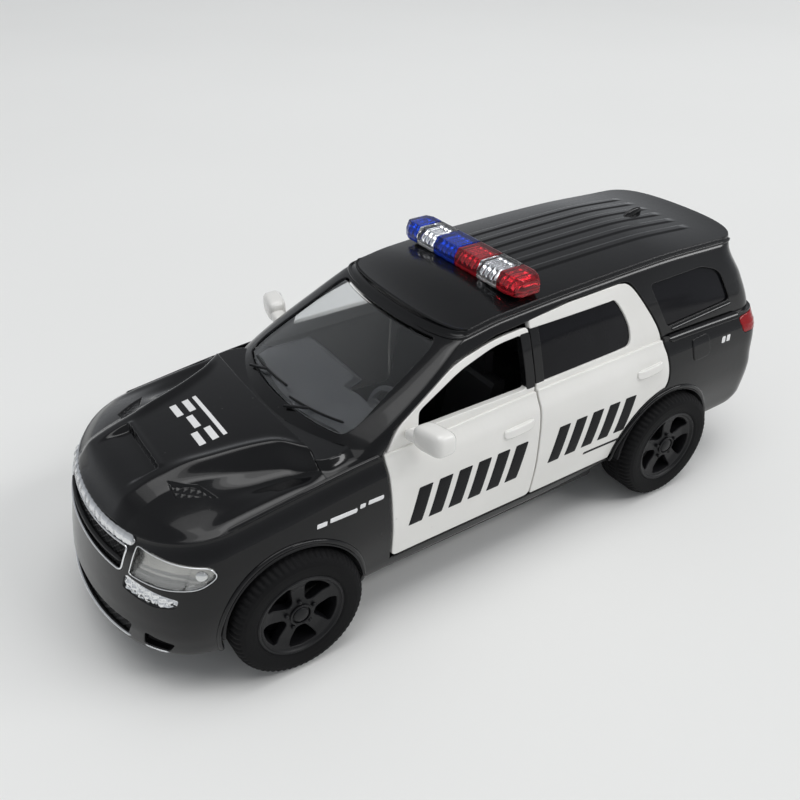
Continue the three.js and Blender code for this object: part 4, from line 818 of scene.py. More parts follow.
# %% Door panels
REAR_DOOR_Y = DOOR_REAR_Y + GAP
door_low = on_side(outline([(DOOR_FRONT_Y, DOOR_LOW_Z, 1), (DOOR_REAR_Y - 1, DOOR_LOW_Z, 1),
                            (DOOR_REAR_Y, CABIN_BASE_Z, 4), (DOOR_REAR_Y, shoulder_z(DOOR_REAR_Y), 0.1),
                            (DOOR_FRONT_Y, shoulder_z(DOOR_FRONT_Y), 0.1)]))
rear_low = on_side(resample(np.vstack([
    line((DOOR_REAR_Y - 0.7, DOOR_LOW_Z), (REAR_DOOR_Y, CABIN_BASE_Z), (REAR_DOOR_Y, 30.6)),
    line((REAR_DOOR_Y, 30.65), (34.6, 31.1)),
    WHITE_EDGE[1:] - (0.3, 0),
    arc(REAR_ARCH, ARCH_BAND + 0.12, 98, 174.6),
    line((23.5, DOOR_LOW_Z), (DOOR_REAR_Y, DOOR_LOW_Z)),
]), 0.35))
WINDOW = [(DOOR_FRONT_Y + 6.2, BELT_Z + 0.5, 0.5), (DOOR_REAR_Y - 1.6, BELT_Z + 0.5, 0.6),
          (DOOR_REAR_Y - 1.6, DOOR_TOP_Z - 0.95, 0.6), (DOOR_REAR_Y - 6.5, DOOR_TOP_Z - 1.25, 2),
          (DOOR_FRONT_Y + 14.5, DOOR_TOP_Z - 3.25, 2), (DOOR_FRONT_Y + 6.8, BELT_Z + 3.2, 0.6)]
FRAME = [(DOOR_FRONT_Y + 0.4, 28.6, 0.1), (DOOR_REAR_Y, 28.6, 0.1), (DOOR_REAR_Y, DOOR_TOP_Z, 0.6),
         (DOOR_REAR_Y - 6, DOOR_TOP_Z - 0.3, 3), (DOOR_FRONT_Y + 14, DOOR_TOP_Z - 2.2, 3),
         (DOOR_FRONT_Y + 2.6, BELT_Z + 1.6, 2), (DOOR_FRONT_Y + 0.2, BELT_Z - 2, 0.6)]
PILLAR = bowed((26.4, 42.25), (28.5, 41.9), (31.0, 38.4), (33.6, 34.2), (34.9, 30.9), (34.9, 29.3))
BAND = np.vstack([line((REAR_DOOR_Y, 40.1), (REAR_DOOR_Y, 41.35), (15, 42.05), (26.2, 42.27)),
                  PILLAR,
                  line((34.5, 29.2), (REAR_DOOR_Y, 29.2), (REAR_DOOR_Y, 31.5)),
                  line((DOOR_REAR_Y + 0.6, 31.5), (24.6, 31.85)),
                  bowed((25.2, 31.9), (27.3, 32.0), (27.6, 34.6), (26.6, 37.4), (24.9, 40.2), (23.6, 40.1), rounds=2),
                  line((23.2, 40.1), (DOOR_REAR_Y + 0.6, 40.1))])
door_skin, rear_door_skin = panel(lower_place, [door_low], 0.5, 1.1), panel(lower_place, [rear_low], 0.5)
door_frame = panel(green_place, [on_side(outline(shape), True) for shape in (FRAME, WINDOW)], 0.45, 1.1)
rear_frame = panel(green_place, [on_side(resample(BAND, 0.3), True)], 0.45)
pairs(("door_skin", door_skin, WHITE_PAINT, "door_paint", "door", None),
      ("door_frame", door_frame, WHITE_PAINT, "door_paint", "", None),
      ("rear_door_skin", rear_door_skin, WHITE_PAINT, "door_paint", "", BODY),
      ("rear_door_frame", rear_frame, WHITE_PAINT, "door_paint", "", BODY))
print("door panels", len(door_skin[1]), len(rear_door_skin[1]), "faces")

# %% [markdown]
# ## Cabin shell
#
# The black upper body is one skin too: windscreen surround, pillars, the rail over the doors, rear pillars and the
# tailgate frame. It starts and ends at the middle of the tail. Windows are holes, and the doors bite into its lower
# edge.

# %% Cabin skin
LOW_UP, TAIL_STOP = UP_GREEN * 0.05, Q_END - 0.02
screen_loop = end_loop([(-16.1, 31.3, 2), (16.1, 31.3, 2), (13.7, 40.9, 1.4), (-13.7, 40.9, 1.4)], green=True)
quarter_loop = on_side(outline([(36.4, 32.8, 0.8), (53.0, 33.5, 1.2), (50.9, 39.0, 1.6), (46.4, 40.5, 1.5),
                                (33.2, 40.5, 0.8)]), True)
tail_x, tail_z = line((0.0, 33.3), (12.2, 33.3), (13.5, 34.6), (11.6, 40.4), (10.4, 41.3), (0.0, 41.3)).T
tail_half = end_map(np.maximum(tail_x, 1e-4), tail_z, green=True, tail=True)
over_doors = on_side(line((34.9 + GAP, 29.0), *(PILLAR[::-1] + (GAP, 0.1)), (15, 42.3),
                          (DOOR_REAR_Y, DOOR_TOP_Z + 0.6), (DOOR_REAR_Y - 6, DOOR_TOP_Z + GAP * 0.4),
                          (DOOR_FRONT_Y + 14, DOOR_TOP_Z - 1.8), (DOOR_FRONT_Y + 2.6, BELT_Z + 2.0),
                          (DOOR_FRONT_Y - GAP, 29.2)), True)
cabin_half = np.vstack([
    line((0, UP_GREEN), (TAIL_STOP, UP_GREEN)),
    (tail_half * MIRROR + (Q_END, 0))[::-1],
    line((TAIL_STOP, LOW_UP), (over_doors[0, 0], LOW_UP)),
    over_doors,
    line((over_doors[-1, 0], LOW_UP), (0, LOW_UP)),
])
cabin_skin = panel(green_place, [both_sides(cabin_half), screen_loop, quarter_loop, quarter_loop * MIRROR], 0.5)
add("cabin_shell", cabin_skin, BLACK_PAINT)
print("cabin shell", len(cabin_skin[1]), "faces")

# %% [markdown]
# ## Hood
#
# The hood is one grid: across it runs x, along it y. A raised middle lies between two ridges that spread towards
# the windscreen. A long dish lies outside each ridge, the scoop is a step that faces forward, and the two vents are
# shallow pockets. Adding small bell curves to one height formula keeps the gloss flowing without breaks.

# %% Hood grid
SCOOP_Y, HOOD_FRONT_Y, EDGE = FRONT_Y + 12.4, FRONT_Y + nose_tuck(1.0), 0.12
VENT = np.array([[9.2, -50.2], [12.2, -50.4], [15.4, -45.2], [11.8, -46.8]])


def end_bend(u, power):
    """How far a rounded end has bent away at a share u of the half width: one minus a power of the cosine."""
    return 1 - np.cos(np.arcsin(np.clip(np.abs(u), 0, 1) ** (1 / power))) ** power


def hood_plain(x, y):
    """Hood height: a falling side profile mixed into the raised middle inside the ridge line, rolled down in front."""
    into = np.clip(1 - (y - HOOD_FRONT_Y) / FRONT_DEPTH, 0, 1)
    edge_x = BELT_HALF * np.sin(np.arccos(into ** (1 / NOSE_POWER))) ** NOSE_POWER
    u = np.clip(np.abs(x) / np.maximum(edge_x, 0.01), 0, 1)
    edge, rise = shoulder_z(y), hood_z(y) - shoulder_z(y)
    side = edge + rise * 0.84 * (1 - u ** 2.3)
    middle = np.maximum(side, hood_z(y) - 0.002 * x * x)
    z = mix(side, middle, ease((ridge_x(y) + 3 - np.abs(x)) / 3))
    front = HOOD_FRONT_Y + FRONT_DEPTH * end_bend(x / BELT_HALF, NOSE_POWER)
    return mix(edge, z, np.sqrt(1 - (1 - np.clip((y - front) / 2.6, 0, 1)) ** 2))


def vent_mask(x, y):
    """Soft mask of the vent: the smallest distance inside its four edges, eased over a third of a millimetre."""
    deep = np.full(np.broadcast(x, y).shape, 9.0)
    for a, b in zip(VENT, np.roll(VENT, -1, 0)):
        away = ((b - a)[0] * (y - a[1]) - (b - a)[1] * (x - a[0])) / np.hypot(*(b - a))
        deep = np.minimum(deep, away)
    return ease(deep / 0.35)


def hood_shape(x, y):
    """Plain height plus ridge bead, side dish, edge bead, scoop step and vent pockets."""
    far, ridge = np.abs(x), ridge_x(y)
    z = hood_plain(x, y) + 0.45 * bell(far, ridge, 1.1) * ease((y + 51) / 6) * ease((-31.5 - y) / 3)
    z = z - 1.05 * bell(far, mix(ridge, BELT_HALF, 0.47), 2.3) * ease((y + 48) / 9) * ease((-31 - y) / 4)
    z = z + 0.3 * bell(far, BELT_HALF - 1.2, 1.1) * ease((y + 50) / 6)
    z = z - ease((y - SCOOP_Y + 5.2) / 5) * (y < SCOOP_Y) * ease((6.6 - far) / 0.9)
    lip = bell(y, SCOOP_Y + 0.35, 0.5) * ease((6.9 - far) / 0.9)
    mesh = np.maximum(*[np.abs(np.sin((far + sign * y) * 2.3)) ** 4 for sign in (1, -1)])
    return z + 0.16 * lip - (0.4 - 0.1 * mesh) * vent_mask(far, y)


u = np.linspace(-1, 1, 257)[:, None]
back_line = -32.5 + 1.1 * u ** 2
y = mix(HOOD_FRONT_Y + FRONT_DEPTH * end_bend(u, NOSE_POWER) + EDGE, back_line, np.linspace(0, 1, 180)[None])
x = np.broadcast_to(u * (BELT_HALF - EDGE), y.shape)
hood = sheet(np.stack([x, y, hood_shape(x, y)], -1), 0.7)
add("hood", hood, BLACK_PAINT)

y = mix(back_line + 0.3, -20.5 - 2.25 * ease((np.abs(u) - 0.72) / 0.16), np.linspace(0, 1, 40)[None])
x = np.broadcast_to(u * (BELT_HALF - 0.15), y.shape)
sunk = 0.5 * (1 - u ** 2) ** 2 * ease((y - back_line) / 1.2)
cowl = sheet(np.stack([x, y, np.minimum(hood_plain(x, y), 30.6) - sunk], -1), 0.6)
add("cowl", cowl, BLACK_PAINT)
print("hood", len(hood[1]), "cowl", len(cowl[1]), "faces")

# %% [markdown]
# ## Roof
#
# The roof is a shallow arch on a grid. Six raised strips run along it behind the light bar, as on the pressed roofs
# of full-size cars, where they stiffen the sheet.


# %% Roof grid
def roof_half(y):
    """Half width of the roof at y: that of the cabin's top, narrowed towards the tail."""
    return (BELT_HALF - green_tuck(1.0)) * narrowing(y, 1)


def roof_height(x, y):
    """Roof edge plus a crown that falls with the square of the share of the half width."""
    return roof_edge(y) + roof_rise(y) * (1 - np.clip(x / roof_half(y), -1, 1) ** 2)


def roof_ribs(x, y):
    """Six flat-topped strips: a steep easing on both flanks, fading out at both ends."""
    strips = sum(ease((0.95 - np.abs(x - middle)) / 0.5) for middle in (-8.5, -5.1, -1.7, 1.7, 5.1, 8.5))
    return 0.2 * strips * ease((y - 11.0) / 2.5) * ease((51.5 - y) / 2.5)


u = np.linspace(-1, 1, 261)[:, None]
front_line = HEADER_Y + screen_depth(1.0) * end_bend(u, NOSE_POWER)
tail_line = tail_y(1.0) - CABIN_TAIL_DEPTH * end_bend(u, TAIL_POWER)
y = mix(front_line + EDGE, tail_line - EDGE, np.linspace(0, 1, 170)[None])
x = u * (roof_half(y) - EDGE)
roof = sheet(np.stack([x, y, roof_height(x, y) + roof_ribs(x, y)], -1), 0.8, 0.1)
add("roof", roof, BLACK_PAINT)
roof_front = np.stack([x, y, roof_height(x, y)], -1)[:, 0]
print("roof", len(roof[1]), "faces")

# %% [markdown]
# ## Glazing
#
# The windscreen of the toy is a clear moulding with a black painted border. The side and tail panes are dark, almost
# mirror-like plastic set a little inside the frames. The front doors have no panes, only a black post behind each
# window.

# %% Panes
PANE = [(8.2, 31.35, 0.5), (27.2, 31.75, 0.8), (27.8, 34.4, 1), (27.0, 37.4, 1.5), (24.9, 40.3, 1), (8.2, 40.2, 0.5)]


def upright(front, rear, low, high):
    """Map loop of an upright strip between two y and two z."""
    return on_side(outline([(front, low, 0.1), (rear, low, 0.1), (rear, high, 0.1), (front, high, 0.1)]), True)


centre_post = upright(REAR_DOOR_Y, 8.25, 31.3, 40.25)
door_post = upright(DOOR_REAR_Y - 1.72, DOOR_REAR_Y + 0.06, BELT_Z + 0.35, DOOR_TOP_Z - 0.8)
door_pane = panel(green_place, [on_side(outline(PANE), True)], 0.8, 0.7, 0.1, -0.35)
screen_pane = panel(green_place, [screen_loop], 0.8, 0.7, 0.1, -0.3)
add("windscreen_pane", screen_pane, CLEAR_SCREEN, ["windscreen"])
pairs(("door_pane", door_pane, SMOKED_PANE, "dark_glazing", "rear_door_window", BODY),
      ("centre_post", panel(green_place, [centre_post], 0.6, 0.9, 0.12, -0.12), BLACK_PAINT, "body_paint", "", BODY),
      ("door_post", panel(green_place, [door_post], 0.6, 1.25, 0.12, 0.06), BLACK_PAINT, "body_paint", "", None),
      ("quarter_pane", panel(green_place, [quarter_loop], 0.8, 0.6, 0.1, -0.45), SMOKED_PANE, "dark_glazing",
       "quarter_window", BODY))
add("tail_pane", panel(green_tail, [both_sides(tail_half)], 0.8, 0.6, 0.1, -0.4), SMOKED_PANE,
    ["tail_window"])
print("panes", len(screen_pane[1]), len(door_pane[1]), "faces")

# %% [markdown]
# ## Beads, grille and intake
#
# A bead is an ellipse carried along a line on the skin. It makes every thin trim of the toy: the bright grille
# outline, the wheel-arch lips and the rail along the roof. The grille itself is a panel whose height follows a
# diamond lattice, as a moulded mesh does.


# %% Front trims
def end_bead(start, end, lift, wide, tall, count=10, place=lower_place, **where):
    """Bead along a straight line of the front or rear view."""
    return bead(*on_skin(place, end_map(*line(start, end).T, **where), lift), wide, tall, count)


def lattice(pitch):
    """Relief of two families of slanted bars over a floor sunk by 0.4 mm."""
    def relief(points):
        across = points[:, 0] + np.sign(points[:, 0]) * 0.35 * (points[:, 1] - FRONT_Y)
        bars = [np.abs((across + slope * points[:, 2]) / pitch % 1 - 0.5) * 2 for slope in (1.3, -1.3)]
        return 0.4 * (ease((np.maximum(*bars) - 0.62) / 0.2) - 1)
    return relief


add("grille_mesh", panel(lower_place, [grille_loop], 0.16, 0.6, 0.05, -0.55, lattice(1.5)), SATIN_BLACK,
    ["grille"])
add("intake_mesh", panel(lower_place, [intake_loop], 0.2, 0.6, 0.05, -0.6, lattice(1.7)), SATIN_BLACK,
    ["intake_grille"])
ring = resample(shifted(counter_clockwise(grille_loop), 0.18), 0.3)
add("grille_outline", bead(*on_skin(lower_place, ring, -0.1), 0.16, 0.26, loop=True), BRIGHT_CHROME)
add("grille_bar", end_bead((-11.4, 21.0), (11.4, 21.0), -0.3, 0.34, 0.4), SATIN_BLACK)
strip = end_map(*line((-12.9, 24.5), (12.9, 24.5), step=0.1).T)
strip_points, strip_normal = on_skin(lower_place, strip, 0.04)
knurl = sum(tall * np.cos(strip[:, :1] * 2 * np.pi / pitch) for tall, pitch in ((0.08, 1.4), (0.05, 0.83)))
add("bright_strip", bead(strip_points + strip_normal * knurl, strip_normal, 0.84, 0.44, 16),
    BRIGHT_CHROME, ["grille_trim"])
add("intake_lip", end_bead((-13.2, 8.75), (13.2, 8.75), -0.06, 0.16, 0.28), BRIGHT_CHROME)
pairs(("bumper_slot", panel(lower_place, [slot_loop], 0.5, 0.3, 0.04, -0.9), SATIN_BLACK, "black_plastic", "", BODY),
      ("slot_lip", end_bead((15.5, 8.5), (18.6, 8.3), 0.05, 0.12, 0.16), BRIGHT_CHROME, "chrome_trim", "", BODY))
print("front trims done")

# %% [markdown]
# ## Headlights, fog lamps and tail lights
#
# Each headlight is a bright bowl with a few flutes along its lower edge, a raised outer part, a small bulb, and a
# clear cover in a thin bright rim that carries on the curve of the body. The fog cluster is a block of little facets.
# The tail lights are red covers over a bright back.


# %% Lamps
def bowl(points):
    """Reflector: sunk more towards the lamp's middle height, fluted below, raised in its outer part."""
    height = points[:, 2]
    sink = 0.9 * (1 - np.clip(np.abs(height - 22.0) / 2.3, 0, 1) ** 2)
    flutes = 0.1 * np.sin(height * 9.0) * ease((21.6 - height) / 0.5)
    return flutes + 0.5 * ease((points[:, 1] + 52.6 - 0.5 * (height - 22)) / 0.35) - sink


def facets(points):
    """Faceted chrome: two crossed triangle waves."""
    along = np.hypot(points[:, 0], points[:, 1] - FRONT_Y)
    return 0.5 * sum(np.abs(way % 1 - 0.5) for way in (along / 1.2, (points[:, 2] + along * 0.2) / 1.15)) - 0.45


def ribbed(points):
    """Fine level ribs: a sine of the height."""
    return 0.05 * np.sin(points[:, 2] * 7.5)


def dome(centre, axis, radius, tall, sides=28, rings=12):
    """Part of an ellipsoid round an axis: rings from the tip outwards, closed at both ends."""
    turn = np.arange(sides)[:, None, None] * 2 * np.pi / sides
    rise = np.linspace(0.02, 1.9, rings)[None, :, None]
    side = unit(np.cross(axis, [0, 0, 1.0]))
    ball = np.sin(rise) * (np.cos(turn) * side + np.sin(turn) * np.cross(side, axis)) * radius
    points = centre + ball + np.cos(rise) * axis * tall
    tips = np.arange(sides) * rings
    return points.reshape(-1, 3), [*quads(sides, rings, wrap_rows=True), tips[::-1], tips + rings - 1], None


head_line = counter_clockwise(head_loop)
head_back = panel(lower_place, [head_loop], 0.3, 0.4, 0.05, -0.35, bowl)
head_cover = panel(lower_place, [shifted(head_line, 0.03)], 0.5, 0.4, 0.12)
head_rim = bead(*on_skin(lower_place, resample(shifted(head_line, 0.1), 0.25), 0.02), 0.09, 0.1, 8, loop=True)
bulb_place, bulb_axis = on_skin(lower_place, on_side(np.array([[-51.3, 21.7]])), -0.75)
fog_block = panel(lower_place, [fog_loop], 0.3, 0.5, 0.05, 0.0, facets)
tail_back = panel(tail_place, [tail_loop], 0.6, 0.4, 0.05, -0.75)
tail_cover = panel(tail_place, [tail_loop], 0.35, 0.6, 0.14, 0.05, ribbed)
pairs(("headlight_bowl", head_back, SILVER_BOWL, "chrome_trim", "", BODY),
      ("headlight_rim", head_rim, BRIGHT_CHROME, "chrome_trim", "", BODY),
      ("headlight_bulb", dome(bulb_place[0], bulb_axis[0], 0.85, 0.3), BRIGHT_CHROME, "chrome_trim", "", BODY),
      ("headlight_cover", head_cover, LAMP_CLEAR, "lamp_lens", "headlight", BODY),
      ("fog_facets", fog_block, BRIGHT_CHROME, "lamp_lens", "fog_lamp", BODY),
      ("tail_light_back", tail_back, BRIGHT_CHROME, "chrome_trim", "", BODY),
      ("tail_light_cover", tail_cover, TAIL_RED, "red_lens", "tail_light", BODY))
for side in DOORS:
    bpy.data.meshes[f"fog_facets_{side}"].shade_flat()
print("lamps done")

# %% [markdown]
# ## Arch lips, rails, flap and tail
#
# Thin edges tell the eye how big the toy is. Each wheel arch ends in a rolled lip, a rail runs over the doors, a lip
# ends the roof over the windscreen, and the rear quarter has a small square flap. Along the hood side, the quarter
# window and the shoulder the rolled edge leans half way to the top, so it mirrors the window as one bright line. The
# tail carries a high brake light, a small wiper and a grip.

# %% Body trims
LEAN = unit(np.array([0.7, -0.02, 0.71]))
LIP_R = ARCH_R + 0.42


def leaning(path, wide, tall):
    """Bead whose broad face leans half way between the side and the top, where it catches the window."""
    return bead(path, np.tile(LEAN, (len(path), 1)), wide, tall, 14)


arch_lips = [bead(*on_skin(lower_place, run, 0.02), 0.42, 0.34)
             for run in (arch_run(FRONT_ARCH, LIP_R, -16, 196), arch_run(REAR_ARCH, LIP_R, 192, -12))]
rail_y, crest_y, seam_y = np.linspace(-8.5, 56.0, 150), np.linspace(36.2, 54.4, 60), np.linspace(-46.5, -22.8, 120)
rail = on_skin(green_place, on_side(np.stack([rail_y, roof_edge(rail_y) - 0.75], -1), True), 0.05)
sill = on_skin(green_place, on_side(line((37.4, 32.15), (53.0, 32.85)), True), 0.05)[0]
crest = on_skin(lower_place, on_side(np.stack([crest_y, shoulder_z(crest_y) - 0.3], -1)))[0]
seam_x = np.full(len(seam_y), BELT_HALF - 0.3)
seam = np.stack([seam_x, seam_y, hood_plain(seam_x, seam_y) + 0.08], -1)
flap = on_side(outline([(41.4, 25.6, 1.0), (45.8, 25.8, 1.0), (45.7, 29.8, 1.0), (41.3, 29.6, 1.0)]))
TRIMS = {"front_arch_lip": arch_lips[0], "rear_arch_lip": arch_lips[1], "roof_rail": bead(*rail, 0.3, 0.26),
         "quarter_sill": leaning(sill, 0.5, 0.26), "quarter_crest": leaning(crest, 0.75, 0.3),
         "hood_seam": leaning(seam, 0.32, 0.15), "filler_flap": panel(lower_place, [flap], 0.5, 0.5, 0.2, 0.2)}
pairs(*[(name, made, BLACK_PAINT, "body_paint", "", BODY) for name, made in TRIMS.items()])
lip_face = np.tile([0, -0.5, 0.87], (len(roof_front), 1))
add("roof_lip", bead(roof_front + (0, 0.1, 0.02), lip_face, 0.24, 0.12), BLACK_PAINT)
brake = end_loop([(-4.2, 41.75, 0.3), (4.2, 41.75, 0.3), (4.2, 42.6, 0.3), (-4.2, 42.6, 0.3)], green=True, tail=True)
add("high_brake_light", panel(green_tail, [brake], 0.4, 0.4, 0.08, 0.1), TAIL_RED)
latch = end_loop([(-3.4, 25.6, 0.4), (3.4, 25.6, 0.4), (3.2, 26.7, 0.4), (-3.2, 26.7, 0.4)], tail=True)
add("tailgate_grip", panel(tail_place, [latch], 0.4, 0.5, 0.16, 0.3), BLACK_PAINT)
foot = end_loop([(-0.9, 30.9, 0.5), (0.9, 30.9, 0.5), (0.9, 33.6, 0.7), (-0.9, 33.6, 0.7)], green=True, tail=True)
add("tail_wiper_foot", panel(green_tail, [foot], 0.4, 0.5, 0.2, 0.3), SATIN_BLACK)
blade = end_bead((0.0, 33.3), (-9.6, 34.2), 0.1, 0.24, 0.34, 8, green_tail, green=True, tail=True)
add("tail_wiper_blade", blade, SATIN_BLACK)
ledge = end_bead((-18.5, 16.6), (18.5, 16.6), -0.08, 0.55, 0.4, place=tail_place, tail=True)
add("tail_step", ledge, SATIN_BLACK)
print("body trims done")

# %% [markdown]
# ## Wheels
#
# The tyre is a soft ring pushed onto a plastic rim. Its profile is turned round the axle, and the tread is cut by
# lowering the radius along grooves. The rim face is a panel with five windows between the spokes, so the spokes
# get the same rolled edges as the body panels.

# %% Tyre and rim
TRACK, TYRE_R, TYRE_STEPS, TREAD_CUTS = 21.1, 10.4, 396, 66
AXLE_WAY = np.array([1.0, 0, 0])
SPOKE_WINDOW = np.array([(2.5, -0.6), (5.4, -2.4), (6.0, 0.0), (5.4, 2.4), (2.5, 0.6)])


def lathe(profile, count, cut=0.0, swell=0.0):
    """Closed ring: a profile of (along axle, radius) turned round X; a cut lowers the radius, a swell moves along."""
    turn = np.arange(count)[:, None] * 2 * np.pi / count
    radius = profile[:, 1] - cut + 0 * turn
    points = np.stack([profile[:, 0] + swell + 0 * turn, np.cos(turn) * radius, np.sin(turn) * radius], -1)
    return points.reshape(-1, 3), quads(count, len(profile), True, True), None


def tyre():
    """Tyre ring: rounded shoulders; two grooves round the tread, and cross cuts on both shoulders."""
    profile = outline([(-3.5, 6.62, 0.4), (-3.95, 8.2, 1.4), (-3.75, 9.9, 0.9), (-2.6, 10.38, 1.2), (2.6, 10.38, 1.2),
                       (3.75, 9.9, 0.9), (3.95, 8.2, 1.4), (3.5, 6.62, 0.4)], 0.2)
    across, far, radius = profile[:, 0], np.abs(profile[:, 0]), profile[:, 1]
    wave = (np.arange(TYRE_STEPS)[:, None] * TREAD_CUTS / TYRE_STEPS + far * 0.12) % 1
    rings = sum(bell(across, middle, 0.16) for middle in (-1.25, 1.25))
    cuts = ease((0.3 - np.abs(wave - 0.5)) / 0.1) * ease((far - 1.7) / 0.3)
    fine = 0.5 * ease((0.22 - np.abs((wave + 0.5) % 1 - 0.5)) / 0.08) * ease((1.0 - far) / 0.2)
    depth = 0.2 * ease((radius - 9.55) / 0.25) * np.maximum(np.maximum(rings, cuts), fine)
    lines = 0.07 * (bell(radius, 7.35, 0.14) + bell(radius, 8.9, 0.1)) * np.sign(across) * (far > 2.8)
    return lathe(profile, TYRE_STEPS, depth, lines)


def wheel_face(q, up):
    """Rim face over the wheel's own plane: raised at the hub, lowest half way, rising again to the lip."""
    far = np.hypot(q, up)
    deep = 2.85 + 0.4 * ease((3.0 - far) / 2.4) + 0.45 * ease((far - 4.4) / 1.7)
    return np.stack([TRACK + deep, q, MIDDLE[2] + up], -1)


windows = []
for angle in np.radians(126 + 72 * np.arange(5)):
    spin = np.array([[np.cos(angle), np.sin(angle)], [-np.sin(angle), np.cos(angle)]])
    windows.append(outline(np.column_stack([SPOKE_WINDOW @ spin, (0.5, 0.7, 2.0, 0.7, 0.5)]), 0.2))
rim_edge = resample(arc((0, 0), 6.45, 0, 360, 200)[:-1], 0.3)
face = panel(wheel_face, [rim_edge, *windows], 0.3, 1.5, 0.2)
face = (face[0] - (TRACK, 0, MIDDLE[2]), *face[1:])
barrel = lathe(outline([(-3.4, 5.75, 0.3), (3.2, 5.85, 0.3), (3.35, 6.35, 0.2), (3.72, 6.5, 0.15), (3.72, 6.9, 0.2),
                        (3.3, 6.9, 0.2), (3.0, 6.62, 0.2), (-3.4, 6.62, 0.2)], 0.25)[::-1], 96)
back_disc = lathe(outline([(-1.6, 0.9, 0.1), (0.4, 0.9, 0.1), (0.4, 5.2, 0.3), (-0.2, 5.95, 0.2), (-1.6, 5.95, 0.2)],
                          0.4)[::-1], 48)
nuts = [dome(np.array([3.12, *spot]), AXLE_WAY, 0.34, 0.34) for spot in arc((0, 0), 2.3, 90, 378, 5)]
hub = joined(dome(AXLE_WAY * 3.2, AXLE_WAY, 1.25, 0.42), *nuts)
hub_line = np.insert(arc((0, 0), 1.62, 0, 360, 41)[:-1], 0, 3.28, axis=1)
hub_ring = bead(hub_line, np.tile(AXLE_WAY, (40, 1)), 0.18, 0.16, 8, loop=True)
rim_parts = {"face": face, "barrel": barrel, "hub": hub, "hub_ring": hub_ring, "back": back_disc}
soft_ring = tyre()
for axle, axle_y in (("front", FRONT_AXLE_Y), ("rear", REAR_AXLE_Y)):
    at_axle = lambda made: (made[0] + (TRACK, axle_y, TYRE_R), *made[1:])
    pairs((f"{axle}_soft_tyre", at_axle(soft_ring), TYRE_RUBBER, "tyre", f"{axle}_tyre", f"{axle}_wheels"),
          *[(f"{axle}_rim_{part}", at_axle(made), RIM_BLACK, "rim", f"{axle}_rim" if part == "face" else "",
             f"{axle}_wheels") for part, made in rim_parts.items()])
    for name in (f"{axle}_rim_{part}_{side}" for part in ("barrel", "back") for side in DOORS):
        bpy.data.meshes[name].set_sharp_from_angle(angle=np.radians(35))
print("tyre faces", len(soft_ring[1]), "rim face", len(face[1]))

# %% [markdown]
# ## Wheel wells
#
# Behind each wheel the casting closes the arch with a round housing, so nobody looks through the toy. A bent profile
# (roof of the well, corner, inner wall) is turned part of the way round the axle.


# %% Well liners
def well(axle_y):
    """Part of a turned shell: radius and depth follow the profile, the angle runs over the top of the wheel."""
    profile = np.vstack([line((23.3, ARCH_R + 0.25), (15.0, ARCH_R + 0.25), step=0.8),
                         line((14.2, ARCH_R - 0.6), (14.0, 2.2), step=0.8)])[::-1]
    turn = np.radians(np.linspace(4, 176, 90))[:, None]
    depth, radius = profile.T
    grid = np.stack([depth + 0 * turn, axle_y + np.cos(turn) * radius, AXLE_Z + np.sin(turn) * radius], -1)
    return sheet(grid, 0.4, 0.05)


for axle, axle_y in (("front", FRONT_AXLE_Y), ("rear", REAR_AXLE_Y)):
    pairs((f"{axle}_well", well(axle_y), SATIN_BLACK, "black_plastic", "", BODY))
print("wells done")

# %% [markdown]
# ## Light bar
#
# Six clear and tinted blocks sit side by side on the roof. Each is a low block with sloping shoulders; the outer two
# are narrowed at their ends. Pleated bright foil lies inside each block, which is what makes coloured plastic glow.

# %% Bar blocks
BAR_Y, BAR_LOW, BAR_TOP, PLEAT = 7.7, 44.7, 47.7, 0.62
BAR_FINISH = {"red": BAR_RED, "clear": BAR_CLEAR, "blue": BAR_BLUE}
BLOCKS = [("red_inner", 0.06, 5.85), ("clear_left", 5.95, 10.85), ("red_end", 10.95, 15.7),
          ("blue_inner", -5.85, -0.06), ("clear_right", -10.85, -5.95), ("blue_end", -15.7, -10.95)]


def power(value, exponent):
    """Power of the size of a number, with its sign kept."""
    return np.sign(value) * np.abs(value) ** exponent


def rounded_block(centre, size, round_plan, round_side, shear=(0, 0), rows=36, columns=56):
    """Superellipsoid: sines and cosines raised to powers; shear leans it back as it goes out."""
    v = np.linspace(-np.pi / 2 + 0.03, np.pi / 2 - 0.03, rows)[:, None]
    w = np.arange(columns)[None] * 2 * np.pi / columns
    x = power(np.cos(v), round_side) * power(np.cos(w), round_plan)
    y = power(np.cos(v), round_side) * power(np.sin(w), round_plan)
    z = power(np.sin(v), round_side) * np.ones_like(w)
    points = np.stack([x * size[0], y * size[1] + shear[0] * x, z * size[2] + shear[1] * x], -1) + centre
    return points.reshape(-1, 3), tube(rows, columns, flip=True), None


def bar_section(x, wide=1.0, low=BAR_LOW, top=BAR_TOP):
    """Outline of the bar at one place: upright foot, sloping shoulder, flat top."""
    y = np.array([-2.95, -3.1, -3.1, -2.35, 2.35, 3.1, 3.1, 2.95])
    z = [low, low + 0.5, low + 1.55, top, top, low + 1.55, low + 0.5, low]
    return np.stack([np.full(8, x), BAR_Y + y * wide, z], -1)


def pleated(x0, x1):
    """Foil under one block: a low arch across the bar, with a zigzag of upright pleats along it."""
    x, side = np.meshgrid(np.linspace(x0, x1, 61), np.linspace(-2.2, 2.2, 25), indexing="ij")
    height = 0.8 + 0.7 * (1 - (side / 2.2) ** 4) + 0.42 * np.abs((x / PLEAT) % 2 - 1)
    return sheet(np.stack([x, BAR_Y + side, BAR_LOW + height], -1), 0.3, 0.06)


